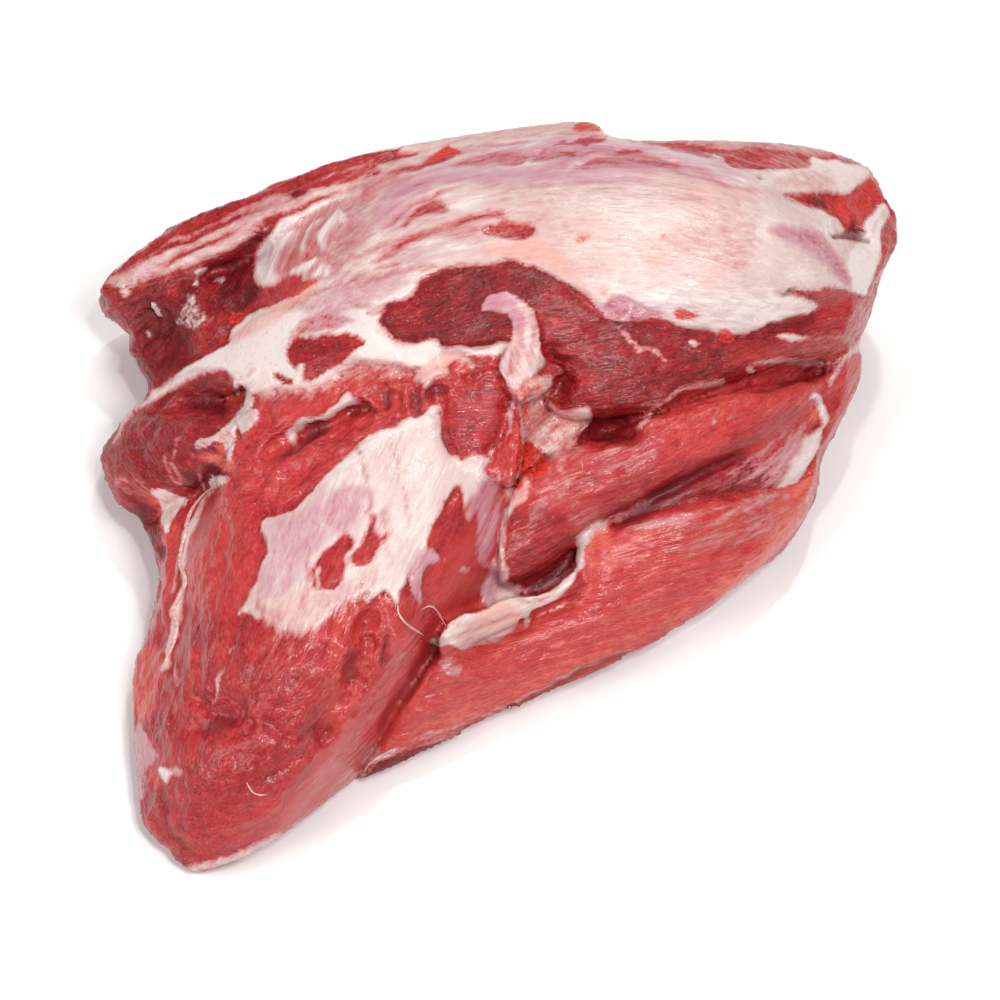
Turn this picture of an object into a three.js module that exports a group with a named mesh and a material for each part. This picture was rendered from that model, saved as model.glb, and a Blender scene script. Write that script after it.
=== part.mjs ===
// A whole raw beef topside: one boned-out joint of meat lying on its flat cut underside.
// Millimetres, +Z up, +X to the right, the pointed end of the joint towards -Y.
//
// The joint is one solid. Its muscles, the fat between them and the loose flap in front are drawn as
// outlines on a sheet that faces someone who stands in front of the joint and looks down on it.
// Each outline is carried down into the meat along that line of sight, with a rounded upper edge.

import * as THREE from "three";

// ---- driving sizes ----------------------------------------------------------------------------

const CELL = 7; // spacing of the grid on which the surface is found
const LIFT_OFF = 0.05; // how far a grid point is pushed into the meat where two sheets would touch

const SIGHT_DOWN = 0.8; // sine of the angle at which the sheet's line of sight falls
const SIGHT_ACROSS = 0.6; // its cosine
const SHEET_HEIGHT = 60; // height of the sheet's middle above the board
const SIGHT_LENGTH = 1400; // from the eye to the sheet's middle

const TALLEST = 142; // highest that any meat reaches
const CORE_DEPTH = 13; // how far the creases between the muscles reach down
const WELD = 2; // softness of the line where two muscles meet
// Rounding along the outline of the whole joint. Above the line at rimBack it stands higher.
const RIM = { reach: 26, fall: 0.45, above: 8, rimBack: 90 };
const BACK = { reach: 54, fall: 112 }; // rounding of the hidden back and ends, under the cap
// The cap hangs over a lower muscle at the back. The fold between them waves along the joint.
const BACK_FOLD = { height: 50, slope: 0.07, wave: 8, length: 46, reach: 32, overlap: 9, setBack: 6 };
const SWELL = [{ height: 4, length: 37 }, { height: 2.5, length: 21 }]; // bulges of that lower muscle
const UNDERSIDE = { reach: 28, fall: 22, inset: 6 }; // rounding where the joint meets the board
const BACK_FOOT = { reach: 14, fall: 12, from: 80 }; // how much rounder that is at the back
const CORNER = { weld: 14, top: 85 }; // softness of the joint's lower corners, and how high they reach
const STIFFNESS = 0.06; // how far the smooth sheet may pass by the heights that it is laid through

const MEAT = { colour: "#b53a3c", roughness: 0.38 };

// Heights of the upper surface: [across, up, height], with the first two on the sheet.
const HEIGHTS = [
  // back edge and right end
  [0, 164, 104], [40, 169, 110], [90, 162, 106], [135, 159, 98], [166, 151, 86], [180, 124, 70],
  // crown of the silverskin cap and the slope below it
  [-22, 135, 114], [45, 135, 128], [99, 133, 125], [135, 119, 110],
  [45, 94, 112], [90, 90, 105], [153, 94, 88],
  // left end of the joint
  [-179, 94, 50], [-153, 117, 66], [-112, 135, 84], [-72, 151, 97], [-32, 161, 102],
  [-158, 54, 38], [-135, 76, 64], [-90, 90, 94], [-45, 108, 112],
  // crescent cut and dark band
  [-22, 86, 112], [-45, 63, 103], [90, 68, 92], [135, 70, 80], [166, 76, 66],
  // torn shoulder and knob
  [-54, 36, 95], [0, 40, 94], [27, 54, 97],
  [-178, 20, 32], [-144, 32, 60], [-166, -7, 26], [-112, 22, 82],
  // big front lobe, down to its tip
  [-135, -27, 58], [-90, -22, 82], [-54, -27, 86], [-22, 0, 86],
  [-153, -68, 34], [-112, -81, 68], [-76, -76, 72], [-135, -126, 42], [-104, -122, 48],
  [-135, -163, 12], [-162, -117, 18], [-36, -63, 62], [-32, -76, 46],
  [-52, -110, 18], [-76, -130, 16], [-112, -160, 12],
  // middle muscle and the loose flap in front of it
  [45, 14, 80], [90, 32, 77], [126, 45, 68], [45, -14, 56],
  [63, -9, 60], [108, 0, 55], [137, 9, 44], [135, -14, 26],
  [108, -36, 22], [63, -63, 17], [18, -86, 13], [-18, -101, 10],
  [45, -40, 46], [9, -65, 33], [90, -22, 46], [158, 54, 48], [151, 27, 34],
];

// Outline of the whole joint on the sheet, clockwise from its left end.
const JOINT_OUTLINE = [
  [-183, 94], [-166, 109], [-144, 125], [-117, 136], [-72, 153], [-27, 162], [18, 168], [41, 169],
  [54, 162], [108, 161], [144, 158], [167, 150], [174, 137], [180, 121], [171, 97], [166, 81],
  [161, 69], [163, 62], [158, 45], [144, 20], [142, 7], [133, -16], [108, -40], [63, -68],
  [27, -86], [-9, -104], [-47, -121], [-76, -137], [-107, -157], [-136, -171], [-155, -157],
  [-164, -142], [-166, -90], [-164, -72], [-158, -61], [-153, -34], [-162, -10], [-173, 0],
  [-180, 19], [-169, 38], [-158, 50], [-167, 67], [-168, 75], [-180, 85],
];

// Outline of the joint seen from straight above, in real x and y. It bounds what the sheet's line
// of sight can't see: the back, the ends and the overhanging sides.
const PLAN_OUTLINE = [
  [-208, 128], [-190, 156], [-150, 172], [-95, 188], [-30, 200], [50, 205], [120, 204], [172, 192],
  [198, 164], [201, 134], [192, 100], [178, 55], [156, 14], [66, -78], [-20, -126], [-80, -164],
  [-125, -188], [-158, -182], [-180, -140], [-184, -60], [-193, 10], [-201, 70],
];

// Muscles, fat and folds that stand up from the joint: lift is the height over the sheet of HEIGHTS,
// reach and drop are how far in and how far down the rounded edge goes.
const FORMS = {
  silverskinCap: {
    lift: 5, reach: 40, drop: 20,
    outline: [
      [-125, 66], [-112, 68], [-94, 66], [-78, 64], [-62, 60], [-43, 55], [-22, 52], [0, 54],
      [20, 55], [40, 54], [63, 58], [90, 60], [117, 64], [140, 72], [158, 84], [170, 90], [182, 94],
      [191, 126], [182, 153], [162, 166], [108, 173], [45, 180], [-9, 176], [-45, 169], [-74, 148],
      [-97, 125], [-112, 107], [-125, 90],
    ],
  },
  darkBand: {
    lift: 2.5, reach: 22, drop: 14,
    outline: [
      [27, 94], [45, 85], [68, 80], [117, 81], [148, 91], [166, 91], [178, 88], [173, 74],
      [165, 71], [155, 64], [130, 61], [108, 55], [90, 47], [74, 41], [54, 37], [34, 36], [22, 41],
      [20, 50], [25, 61], [21, 70], [17, 82], [20, 91],
    ],
  },
  crescentCut: {
    lift: 3.5, reach: 7, drop: 4,
    outline: [
      [-56, 80], [-50, 89], [-38, 97], [-22, 105], [-4, 108], [9, 107], [25, 101], [35, 92],
      [40, 81], [45, 70], [32, 63], [20, 70], [9, 70], [0, 68], [-22, 66], [-31, 70], [-43, 69],
    ],
  },
  whiteTongue: {
    lift: 5.5, reach: 6, drop: 4,
    outline: [
      [-9, 87], [0, 93], [11, 90], [18, 82], [20, 68], [24, 62], [30, 59], [23, 50], [9, 44],
      [1, 49], [-1, 59], [2, 71], [-2, 83],
    ],
  },
  backLobe: {
    lift: 3.5, reach: 16, drop: 12,
    outline: [
      [-185, 94], [-169, 115], [-153, 130], [-133, 140], [-106, 151], [-72, 162], [-32, 172],
      [-22, 158], [-45, 149], [-70, 136], [-94, 120], [-112, 110], [-128, 101], [-146, 95],
      [-164, 88], [-178, 82],
    ],
  },
  leftEnd: {
    lift: 0, reach: 16, drop: 10,
    outline: [
      [-184, 94], [-169, 106], [-150, 110], [-128, 107], [-112, 110], [-105, 101], [-103, 89],
      [-115, 76], [-123, 68], [-135, 58], [-148, 51], [-162, 43], [-173, 58], [-178, 74],
    ],
  },
  fatBand: {
    lift: 2, reach: 9, drop: 6,
    outline: [
      [-164, 43], [-149, 53], [-136, 66], [-117, 76], [-104, 86], [-90, 93], [-70, 97], [-52, 94],
      [-53, 79], [-44, 68], [-27, 66], [-7, 66], [1, 60], [-14, 56], [-32, 54], [-45, 57],
      [-58, 59], [-76, 55], [-90, 51], [-104, 53], [-117, 50], [-128, 45], [-140, 42], [-153, 38],
    ],
  },
  redIsland: {
    lift: 5, reach: 9, drop: 6,
    outline: [
      [-98, 69], [-90, 74], [-76, 75], [-65, 75], [-59, 71], [-65, 65], [-76, 60], [-88, 56],
      [-96, 61],
    ],
  },
  knob: {
    lift: 3, reach: 22, drop: 20,
    outline: [
      [-184, 19], [-175, 36], [-161, 48], [-146, 51], [-128, 50], [-115, 45], [-112, 34],
      [-118, 22], [-128, 11], [-140, 2], [-149, -3], [-160, -16], [-176, -7],
    ],
  },
  tornShoulder: {
    lift: 0.5, reach: 8, drop: 5,
    outline: [
      [-122, 26], [-114, 48], [-104, 58], [-86, 58], [-70, 62], [-52, 64], [-27, 62], [-4, 58],
      [7, 46], [10, 27], [6, 8], [-5, 8], [-22, 12], [-32, 28], [-45, 28], [-54, 18], [-70, 4],
      [-86, -10], [-100, -20], [-120, -22], [-130, -10], [-128, 6], [-126, 16],
    ],
  },
  frontLobe: {
    lift: 3, reach: 34, drop: 24,
    outline: [
      [-137, 4], [-126, 12], [-112, 14], [-94, 20], [-72, 36], [-50, 46], [-31, 50], [-17, 42],
      [-6, 28], [6, 14], [3, -9], [0, -28], [-9, -45], [-22, -62], [-32, -76], [-42, -92],
      [-50, -107], [-57, -119], [-70, -137], [-90, -153], [-117, -176], [-142, -180], [-162, -166],
      [-176, -144], [-176, -90], [-172, -68], [-162, -50], [-162, -27], [-162, -10], [-148, -1],
    ],
  },
  middleMuscle: {
    lift: 3, reach: 15, drop: 13,
    outline: [
      [9, 10], [22, 20], [45, 29], [72, 39], [108, 50], [140, 55], [149, 52], [143, 43], [130, 33],
      [112, 22], [94, 14], [81, 7], [63, -1], [45, -10], [36, -19], [20, -32], [2, -40], [-1, -29],
      [3, -9],
    ],
  },
  flapInside: {
    lift: -4, reach: 8, drop: 6,
    outline: [
      [44, -11], [63, -1], [81, 7], [94, 14], [112, 22], [130, 35], [143, 46], [148, 38], [145, 27],
      [138, 14], [131, 7], [117, 4], [90, -1], [63, -8], [50, -11],
    ],
  },
  frontFlap: {
    lift: 4, reach: 17, drop: 16,
    outline: [
      [32, -32], [35, -19], [40, -12], [47, -9], [63, -6], [90, 1], [117, 5], [133, 8], [140, 17],
      [143, 29], [155, 14], [151, -7], [137, -25], [112, -47], [74, -70], [38, -90], [2, -108],
      [-20, -115], [-45, -126], [-62, -124], [-54, -108], [-45, -92], [-34, -76], [-25, -66],
      [-9, -63], [9, -55], [20, -48], [33, -41],
    ],
  },
  fatRibbon: {
    lift: 4, reach: 8, drop: 6,
    outline: [
      [-29, -65], [-24, -54], [-9, -48], [4, -44], [22, -40], [34, -30], [38, -40], [20, -49],
      [9, -55], [-9, -63], [-25, -71],
    ],
  },
  rightTuck: {
    lift: -1, reach: 12, drop: 8,
    outline: [
      [162, 74], [153, 68], [146, 60], [143, 50], [141, 40], [143, 30], [142, 16], [151, 9],
      [162, 27], [173, 45], [176, 65],
    ],
  },
  backTuck: {
    lift: -5, reach: 8, drop: 8,
    outline: [
      [173, 135], [171, 128], [169, 112], [166, 104], [166, 94], [166, 85], [176, 86], [187, 108],
      [189, 124], [182, 135],
    ],
  },
  underSliver: {
    lift: -2, reach: 6, drop: 6,
    outline: [
      [-62, -126], [-56, -117], [-45, -112], [-25, -100], [-9, -95], [0, -96], [27, -86], [63, -68],
      [68, -74], [27, -94], [0, -107], [-20, -113], [-45, -126],
    ],
  },
};

// Tears and hollows, and the folds that stand up where depth is below zero.
const TEARS = {
  knobHollow: { depth: 9, width: 7, path: [[-143, 44], [-133, 46], [-124, 44]] },
  shoulderTear: {
    depth: 7, width: 5,
    path: [[-103, 22], [-90, 31], [-74, 34], [-65, 39], [-52, 49]],
  },
  lobeCrevice: { depth: 5, width: 5, path: [[-58, -55], [-61, -72], [-70, -90], [-81, -106]] },
  lobeHollow: { depth: 4, width: 6, path: [[-136, -104], [-130, -98], [-124, -96], [-118, -90]] },
  lobeSeam: {
    depth: 5, width: 5,
    path: [[-135, 0], [-141, -14], [-144, -32], [-142, -50], [-149, -65]],
  },
  lobeFold: {
    depth: -5, width: 12,
    path: [[-45, -63], [-52, -81], [-68, -97], [-81, -108], [-88, -122], [-99, -142]],
  },
  capNotch: { depth: 7, width: 5, path: [[153, 124], [162, 117]] },
  capTear: { depth: 5, width: 7, path: [[130, 136], [148, 135], [167, 132]] },
  bandHole: { depth: 9, width: 5, path: [[45, 31], [58, 31]] },
  leftGroove: { depth: 7, width: 6, path: [[-128, 102], [-118, 105], [-110, 114]] },
  leftPit: { depth: 6, width: 9, path: [[-158, 80], [-148, 72]] },
  leftPitRight: { depth: 5, width: 8, path: [[-122, 96], [-114, 90]] },
};

// ---- distances on the sheet -------------------------------------------------------------------

const STEPS_PER_POINT = 4;

function closedCurve(points) {
  const knots = points.map(([a, b]) => new THREE.Vector3(a, b, 0));
  const curve = new THREE.CatmullRomCurve3(knots, true, "catmullrom", 0.5);
  return curve.getPoints(points.length * STEPS_PER_POINT).slice(0, -1).map((p) => [p.x, p.y]);
}

// Distance from a point to a closed curve: inside it rises smoothly from the edge to the middle, with
// no ridge where two edges are equally near, and outside it is the plain distance, below zero.
function edgeDistance(curve, u, v) {
  let nearest = Infinity;
  let pull = 0;
  let inside = false;
  for (let i = 0; i < curve.length; i++) {
    const [a, b] = curve[i];
    const [c, d] = curve[(i + 1) % curve.length];
    const length = Math.hypot(c - a, d - b);
    const along = ((u - a) * (c - a) + (v - b) * (d - b)) / length;
    const off = ((u - a) * (d - b) - (v - b) * (c - a)) / length;
    const foot = THREE.MathUtils.clamp(along, 0, length);
    nearest = Math.min(nearest, (along - foot) ** 2 + off ** 2);
    const square = off ** 2 + 0.05;
    const ahead = length - along;
    pull += (ahead / Math.sqrt(ahead ** 2 + square) + along / Math.sqrt(along ** 2 + square)) / square;
    if (b > v !== d > v && u < a + ((v - b) * (c - a)) / (d - b)) inside = !inside;
  }
  return inside ? Math.sqrt(2 / pull) : -Math.sqrt(nearest);
}

function pathDistance(path, u, v) {
  let nearest = Infinity;
  for (let i = 0; i + 1 < path.length; i++) {
    const [a, b] = path[i];
    const [c, d] = path[i + 1];
    const share = ((u - a) * (c - a) + (v - b) * (d - b)) / ((c - a) ** 2 + (d - b) ** 2);
    const foot = THREE.MathUtils.clamp(share, 0, 1);
    nearest = Math.min(nearest, Math.hypot(u - a - foot * (c - a), v - b - foot * (d - b)));
  }
  return nearest;
}

// ---- the smooth sheet through the heights ------------------------------------------------------

const SHEET_UNIT = 100; // the sheet is solved in units of this many millimetres

function bend(squared) {
  return 0.5 * squared * Math.log(squared + 1e-9);
}

function solve(rows) {
  const size = rows.length;
  for (let column = 0; column < size; column++) {
    let best = column;
    for (let row = column + 1; row < size; row++) {
      if (Math.abs(rows[row][column]) > Math.abs(rows[best][column])) best = row;
    }
    [rows[column], rows[best]] = [rows[best], rows[column]];
    for (let row = 0; row < size; row++) {
      if (row === column) continue;
      const factor = rows[row][column] / rows[column][column];
      for (let k = column; k <= size; k++) rows[row][k] -= factor * rows[column][k];
    }
  }
  return rows.map((row, i) => row[size] / row[i]);
}

// A thin springy sheet laid through the heights, as [u, v, z] posts.
function springySheet(posts) {
  const knots = posts.map(([u, v, z]) => [u / SHEET_UNIT, v / SHEET_UNIT, z]);
  const rows = knots.map(([u, v, z], i) => [
    ...knots.map(([a, b], j) => bend((u - a) ** 2 + (v - b) ** 2) + (i === j ? STIFFNESS : 0)),
    1, u, v, z,
  ]);
  rows.push([...knots.map(() => 1), 0, 0, 0, 0]);
  rows.push([...knots.map(([a]) => a), 0, 0, 0, 0]);
  rows.push([...knots.map(([, b]) => b), 0, 0, 0, 0]);
  const weights = solve(rows);
  const [level, across, up] = weights.slice(-3);
  return (u, v) => {
    const [a, b] = [u / SHEET_UNIT, v / SHEET_UNIT];
    const plane = level + across * a + up * b;
    return knots.reduce((z, [c, d], i) => z + weights[i] * bend((a - c) ** 2 + (b - d) ** 2), plane);
  };
}

// ---- the meat as a function of a point: above zero inside, below zero outside ------------------

// A slab under a level top with a rounded edge: in is the distance in from its outline, under is the
// distance below its top, reach and drop are the two radii of the rounding.
function roundedSlab(inward, under, reach, drop) {
  const corner = Math.hypot(Math.max(0, 1 - inward / reach), Math.max(0, 1 - under / drop));
  return Math.min(reach, drop) * (1 - corner);
}

function softMax(a, b, width) {
  const share = THREE.MathUtils.clamp(0.5 + (0.5 * (a - b)) / width, 0, 1);
  return b + (a - b) * share + width * share * (1 - share);
}

function softMin(a, b, width) {
  return -softMax(-a, -b, width);
}

function onSheet(x, y, z) {
  const height = z - SHEET_HEIGHT;
  const scale = SIGHT_LENGTH / (SIGHT_LENGTH + y * SIGHT_ACROSS - height * SIGHT_DOWN);
  return [x * scale, (y * SIGHT_DOWN + height * SIGHT_ACROSS) * scale];
}

// Two muscles one above the other, as the back of the joint shows them.
function backFold(x, y, z, plan) {
  const { height, slope, wave, length, reach, overlap, setBack } = BACK_FOLD;
  const [long, short] = SWELL;
  const swell = long.height * Math.sin(x / long.length)
    + short.height * Math.sin((x + y + z) / short.length);
  const above = z - height - slope * x - wave * Math.sin(x / length);
  const upper = roundedSlab(plan, above + overlap, reach, reach);
  const lower = roundedSlab(plan - setBack + swell, overlap - above, reach, reach);
  return softMax(upper, lower, WELD);
}

function makeMeat() {
  const sheet = springySheet(HEIGHTS);
  const jointCurve = closedCurve(JOINT_OUTLINE);
  const planCurve = closedCurve(PLAN_OUTLINE);
  const forms = Object.values(FORMS).map((form) => ({ ...form, curve: closedCurve(form.outline) }));
  const tears = Object.values(TEARS);

  return (x, y, z) => {
    const [u, v] = onSheet(x, y, z);
    const plan = edgeDistance(planCurve, x, y);
    const rim = edgeDistance(jointCurve, u, v);
    if (plan < -CELL || rim < -CELL) return Math.min(plan, rim);
    const level = sheet(u, v);
    const torn = tears.reduce((sum, { depth, width, path }) =>
      sum + depth * Math.exp(-((pathDistance(path, u, v) / width) ** 2)), 0);
    const under = level - torn - z;
    let meat = roundedSlab(rim + CORE_DEPTH, under - CORE_DEPTH, CORE_DEPTH, CORE_DEPTH);
    for (const { lift, reach, drop, curve } of forms) {
      const muscle = roundedSlab(edgeDistance(curve, u, v), under + lift, reach, drop);
      meat = softMax(muscle, meat, WELD);
    }
    const top = level + RIM.above + Math.max(0, v - RIM.rimBack);
    const outer = roundedSlab(rim, top - z, RIM.reach, Math.max(8, level * RIM.fall));
    const back = Math.min(roundedSlab(plan, TALLEST - z, BACK.reach, BACK.fall), backFold(x, y, z, plan));
    const corner = CORNER.weld * THREE.MathUtils.clamp(1 - z / CORNER.top, 0.05, 1);
    const walls = softMin(outer, back, corner);
    const behind = THREE.MathUtils.clamp(y / BACK_FOOT.from, 0, 1);
    const over = z + UNDERSIDE.inset;
    const frontFoot = roundedSlab(rim, over, UNDERSIDE.reach, UNDERSIDE.fall);
    const backFoot = roundedSlab(plan, over, UNDERSIDE.reach + BACK_FOOT.reach * behind,
      UNDERSIDE.fall + BACK_FOOT.fall * behind);
    return Math.min(meat, walls, frontFoot, backFoot);
  };
}

// ---- the surface: one vertex in each grid cell that the surface passes through ------------------

const CORNERS = [0, 1, 2, 3, 4, 5, 6, 7].map((n) => [n & 1, (n >> 1) & 1, (n >> 2) & 1]);
const EDGES = CORNERS.flatMap((corner, n) =>
  [1, 2, 4].filter((bit) => !(n & bit)).map((bit) => [n, n | bit]));

// Whether the corners on one side of the surface fall apart into more than one group.
function fallsApart(isIn, count, wanted) {
  const members = [...Array(count).keys()].filter((n) => isIn[n] === wanted);
  if (members.length < 2) return false;
  const reached = new Set([members[0]]);
  for (const from of reached) {
    for (const bit of [1, 2, 4]) {
      const to = from ^ bit;
      if (to < count && isIn[to] === wanted) reached.add(to);
    }
  }
  return reached.size < members.length;
}

class Grid {
  constructor(field, low, size) {
    this.low = low;
    this.size = size;
    const [nx, ny, nz] = size;
    this.values = new Float64Array(nx * ny * nz);
    for (let k = 0; k < nz; k++) {
      for (let j = 0; j < ny; j++) {
        for (let i = 0; i < nx; i++) this.values[this.at(i, j, k)] = field(...this.place(i, j, k));
      }
    }
  }

  at(i, j, k) {
    return i + this.size[0] * (j + this.size[1] * k);
  }

  place(i, j, k) {
    return [this.low[0] + i * CELL, this.low[1] + j * CELL, k * CELL];
  }

  corners(i, j, k, count) {
    return CORNERS.slice(0, count).map(([a, b, c]) => this.at(i + a, j + b, k + c));
  }

  // Fills every place where the surface would touch itself, so that it stays a single skin.
  closePinches() {
    const [nx, ny, nz] = this.size;
    for (let changed = true; changed; ) {
      changed = false;
      for (let k = 0; k < nz - 1; k++) {
        for (let j = 0; j < ny - 1; j++) {
          for (let i = 0; i < nx - 1; i++) {
            if (this.fill(this.corners(i, j, k, 8)) || (k === 0 && this.fill(this.corners(i, j, 0, 4)))) {
              changed = true;
            }
          }
        }
      }
    }
  }

  fill(corners) {
    const isIn = corners.map((c) => this.values[c] > 0);
    if (!fallsApart(isIn, corners.length, true) && !fallsApart(isIn, corners.length, false)) return false;
    const outside = corners.filter((c, n) => !isIn[n]);
    outside.sort((a, b) => this.values[b] - this.values[a]);
    this.values[outside[0]] = LIFT_OFF * CELL;
    return true;
  }

  // The mean of the points where the surface crosses a cell's edges, or nothing if it misses the cell.
  vertex(i, j, k, onBoard) {
    const corners = this.corners(i, j, k, onBoard ? 4 : 8);
    const sum = [0, 0, 0];
    let crossings = 0;
    for (const [m, n] of EDGES) {
      if (n >= corners.length) continue;
      const [p, q] = [this.values[corners[m]], this.values[corners[n]]];
      if (p > 0 === q > 0) continue;
      const share = p / (p - q);
      for (let axis = 0; axis < 3; axis++) {
        sum[axis] += CORNERS[m][axis] + share * (CORNERS[n][axis] - CORNERS[m][axis]);
      }
      crossings += 1;
    }
    if (!crossings) return null;
    const [x, y, z] = this.place(i, j, k);
    return [x + (sum[0] / crossings) * CELL, y + (sum[1] / crossings) * CELL, z + (sum[2] / crossings) * CELL];
  }
}

function skin(grid) {
  const [nx, ny, nz] = grid.size;
  const points = [];
  const triangles = [];
  const known = new Map();
  const next = new Map(); // the rim of the open underside, from each of its points to the next

  const point = (i, j, k) => {
    const key = grid.at(i, j, k + 1);
    if (!known.has(key)) {
      known.set(key, points.length);
      points.push(grid.vertex(i, j, Math.max(k, 0), k < 0));
    }
    return known.get(key);
  };

  const gap = (a, b) => Math.hypot(...points[a].map((value, axis) => value - points[b][axis]));

  const quad = (cells, flipped) => {
    const [a, b, c, d] = (flipped ? [...cells].reverse() : cells).map((cell) => point(...cell));
    if (gap(a, c) < gap(b, d)) triangles.push(a, b, c, a, c, d);
    else triangles.push(a, b, d, b, c, d);
  };

  for (let k = 0; k < nz - 1; k++) {
    for (let j = 1; j < ny - 1; j++) {
      for (let i = 1; i < nx - 1; i++) {
        const here = grid.values[grid.at(i, j, k)] > 0;
        const right = grid.values[grid.at(i + 1, j, k)] > 0;
        const behind = grid.values[grid.at(i, j + 1, k)] > 0;
        const above = grid.values[grid.at(i, j, k + 1)] > 0;
        if (here !== right) {
          quad([[i, j - 1, k - 1], [i, j, k - 1], [i, j, k], [i, j - 1, k]], !here);
          if (k === 0) {
            const [a, b] = [point(i, j - 1, -1), point(i, j, -1)];
            next.set(here ? b : a, here ? a : b);
          }
        }
        if (here !== behind) {
          quad([[i - 1, j, k - 1], [i, j, k - 1], [i, j, k], [i - 1, j, k]], here);
          if (k === 0) {
            const [a, b] = [point(i - 1, j, -1), point(i, j, -1)];
            next.set(here ? a : b, here ? b : a);
          }
        }
        if (here !== above) quad([[i - 1, j - 1, k], [i, j - 1, k], [i, j, k], [i - 1, j, k]], !here);
      }
    }
  }
  return { points, triangles, next };
}

// Closes the open underside with one flat face.
function closeUnderside({ points, triangles, next }) {
  const [start] = next.keys();
  const loop = [start];
  for (let at = next.get(start); at !== start; at = next.get(at)) loop.push(at);
  const flat = loop.map((n) => new THREE.Vector2(points[n][0], points[n][1]));
  for (const [a, b, c] of THREE.ShapeUtils.triangulateShape(flat, [])) {
    const face = [loop[a], loop[b], loop[c]];
    const [p, q, r] = face.map((n) => points[n]);
    const up = (q[0] - p[0]) * (r[1] - p[1]) - (q[1] - p[1]) * (r[0] - p[0]) > 0;
    triangles.push(...(up ? face.reverse() : face));
  }
}

function topsideGeometry() {
  const xs = PLAN_OUTLINE.map(([x]) => x);
  const ys = PLAN_OUTLINE.map(([, y]) => y);
  const low = [Math.min(...xs) - 2 * CELL, Math.min(...ys) - 2 * CELL];
  const high = [Math.max(...xs) + 2 * CELL, Math.max(...ys) + 2 * CELL];
  const size = [
    Math.ceil((high[0] - low[0]) / CELL) + 1,
    Math.ceil((high[1] - low[1]) / CELL) + 1,
    Math.ceil(TALLEST / CELL) + 2,
  ];
  const grid = new Grid(makeMeat(), low, size);
  grid.closePinches();
  const surface = skin(grid);
  closeUnderside(surface);

  const geometry = new THREE.BufferGeometry();
  geometry.setAttribute("position", new THREE.Float32BufferAttribute(surface.points.flat(), 3));
  geometry.setIndex(surface.triangles);
  geometry.computeBoundingBox();
  const middle = geometry.boundingBox.getCenter(new THREE.Vector3());
  geometry.translate(-middle.x, -middle.y, 0);
  geometry.computeVertexNormals();
  return geometry;
}

// ---- the joint of meat --------------------------------------------------------------------------

const meatMaterial = new THREE.MeshStandardMaterial({
  color: MEAT.colour,
  roughness: MEAT.roughness,
  metalness: 0,
});

const topside = new THREE.Mesh(topsideGeometry(), meatMaterial);
topside.name = "topside";

const group = new THREE.Group();
group.add(topside);

export default group;
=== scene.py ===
import math

import bpy
import numpy as np
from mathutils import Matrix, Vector
from mathutils.bvhtree import BVHTree


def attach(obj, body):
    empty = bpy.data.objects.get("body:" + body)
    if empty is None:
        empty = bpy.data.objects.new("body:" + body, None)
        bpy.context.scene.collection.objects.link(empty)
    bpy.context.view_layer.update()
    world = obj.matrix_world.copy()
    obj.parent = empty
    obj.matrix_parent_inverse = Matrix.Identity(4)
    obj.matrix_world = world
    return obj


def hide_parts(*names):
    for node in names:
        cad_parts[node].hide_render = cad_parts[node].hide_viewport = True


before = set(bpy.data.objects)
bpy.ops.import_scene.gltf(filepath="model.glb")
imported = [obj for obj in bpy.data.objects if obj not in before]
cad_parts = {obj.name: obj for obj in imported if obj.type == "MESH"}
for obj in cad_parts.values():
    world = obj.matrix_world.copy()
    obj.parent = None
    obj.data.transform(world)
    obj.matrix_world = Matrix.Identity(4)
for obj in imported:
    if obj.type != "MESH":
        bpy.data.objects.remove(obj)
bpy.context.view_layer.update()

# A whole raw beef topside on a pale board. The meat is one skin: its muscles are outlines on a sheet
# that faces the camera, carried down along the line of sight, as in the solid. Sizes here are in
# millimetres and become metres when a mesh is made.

# ---- driving sizes, the same as the solid's -----------------------------------------------------

# Outlines and paths are points on the sheet, written one after another: u,v, u,v, and so on.

MM = 0.001

SIGHT_DOWN = 0.8
SIGHT_ACROSS = 0.6
SHEET_HEIGHT = 60
SIGHT_LENGTH = 1400

TALLEST = 142
CORE_DEPTH = 13
WELD = 2
RIM_REACH, RIM_FALL, RIM_LEAST_FALL, RIM_ABOVE, RIM_BACK = 26, 0.45, 8, 8, 90
BACK_REACH, BACK_FALL = 54, 112
FOLD_HEIGHT, FOLD_SLOPE, FOLD_WAVE, FOLD_LENGTH = 50, 0.07, 8, 46
FOLD_REACH, FOLD_OVERLAP, FOLD_SET_BACK = 32, 9, 6
SWELL, SWELL_LENGTH, SMALL_SWELL, SMALL_SWELL_LENGTH = 4, 37, 2.5, 21
CORNER_WELD, CORNER_TOP, CORNER_LEAST = 14, 85, 0.05
UNDERSIDE_REACH, UNDERSIDE_FALL, UNDERSIDE_INSET = 28, 22, 6
BACK_FOOT_REACH, BACK_FOOT_FALL, BACK_FOOT_FROM = 14, 12, 80
STIFFNESS = 0.06

# Finer than the solid: the skin is found on this grid, after a first look on one four times as wide.
FINE_CELL = 1.7
COARSE_STEP = 4
NEAR_SURFACE = 1.6
SKIN_LOW, SKIN_HIGH = (-212.0, -200.0, 0.0), (212.0, 216.0, TALLEST + 4.0)

# The sheet's and the plan's maps: half their width and height, the step of their grid, and how far
# outside an outline its distance is still worked out.
SHEET_HALF, PLAN_HALF = (210, 200), (210, 210)
SHEET_STEP = 1.0
# An unsteady hand draws the zones: how far it strays, over what length. The rest of the way across
# the noise keeps its sideways error apart from its lengthways one.
HAND_REACH, HAND_LENGTH, ASIDE = 1.3, 8, 500
EDGE_MARGIN = 14

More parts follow.
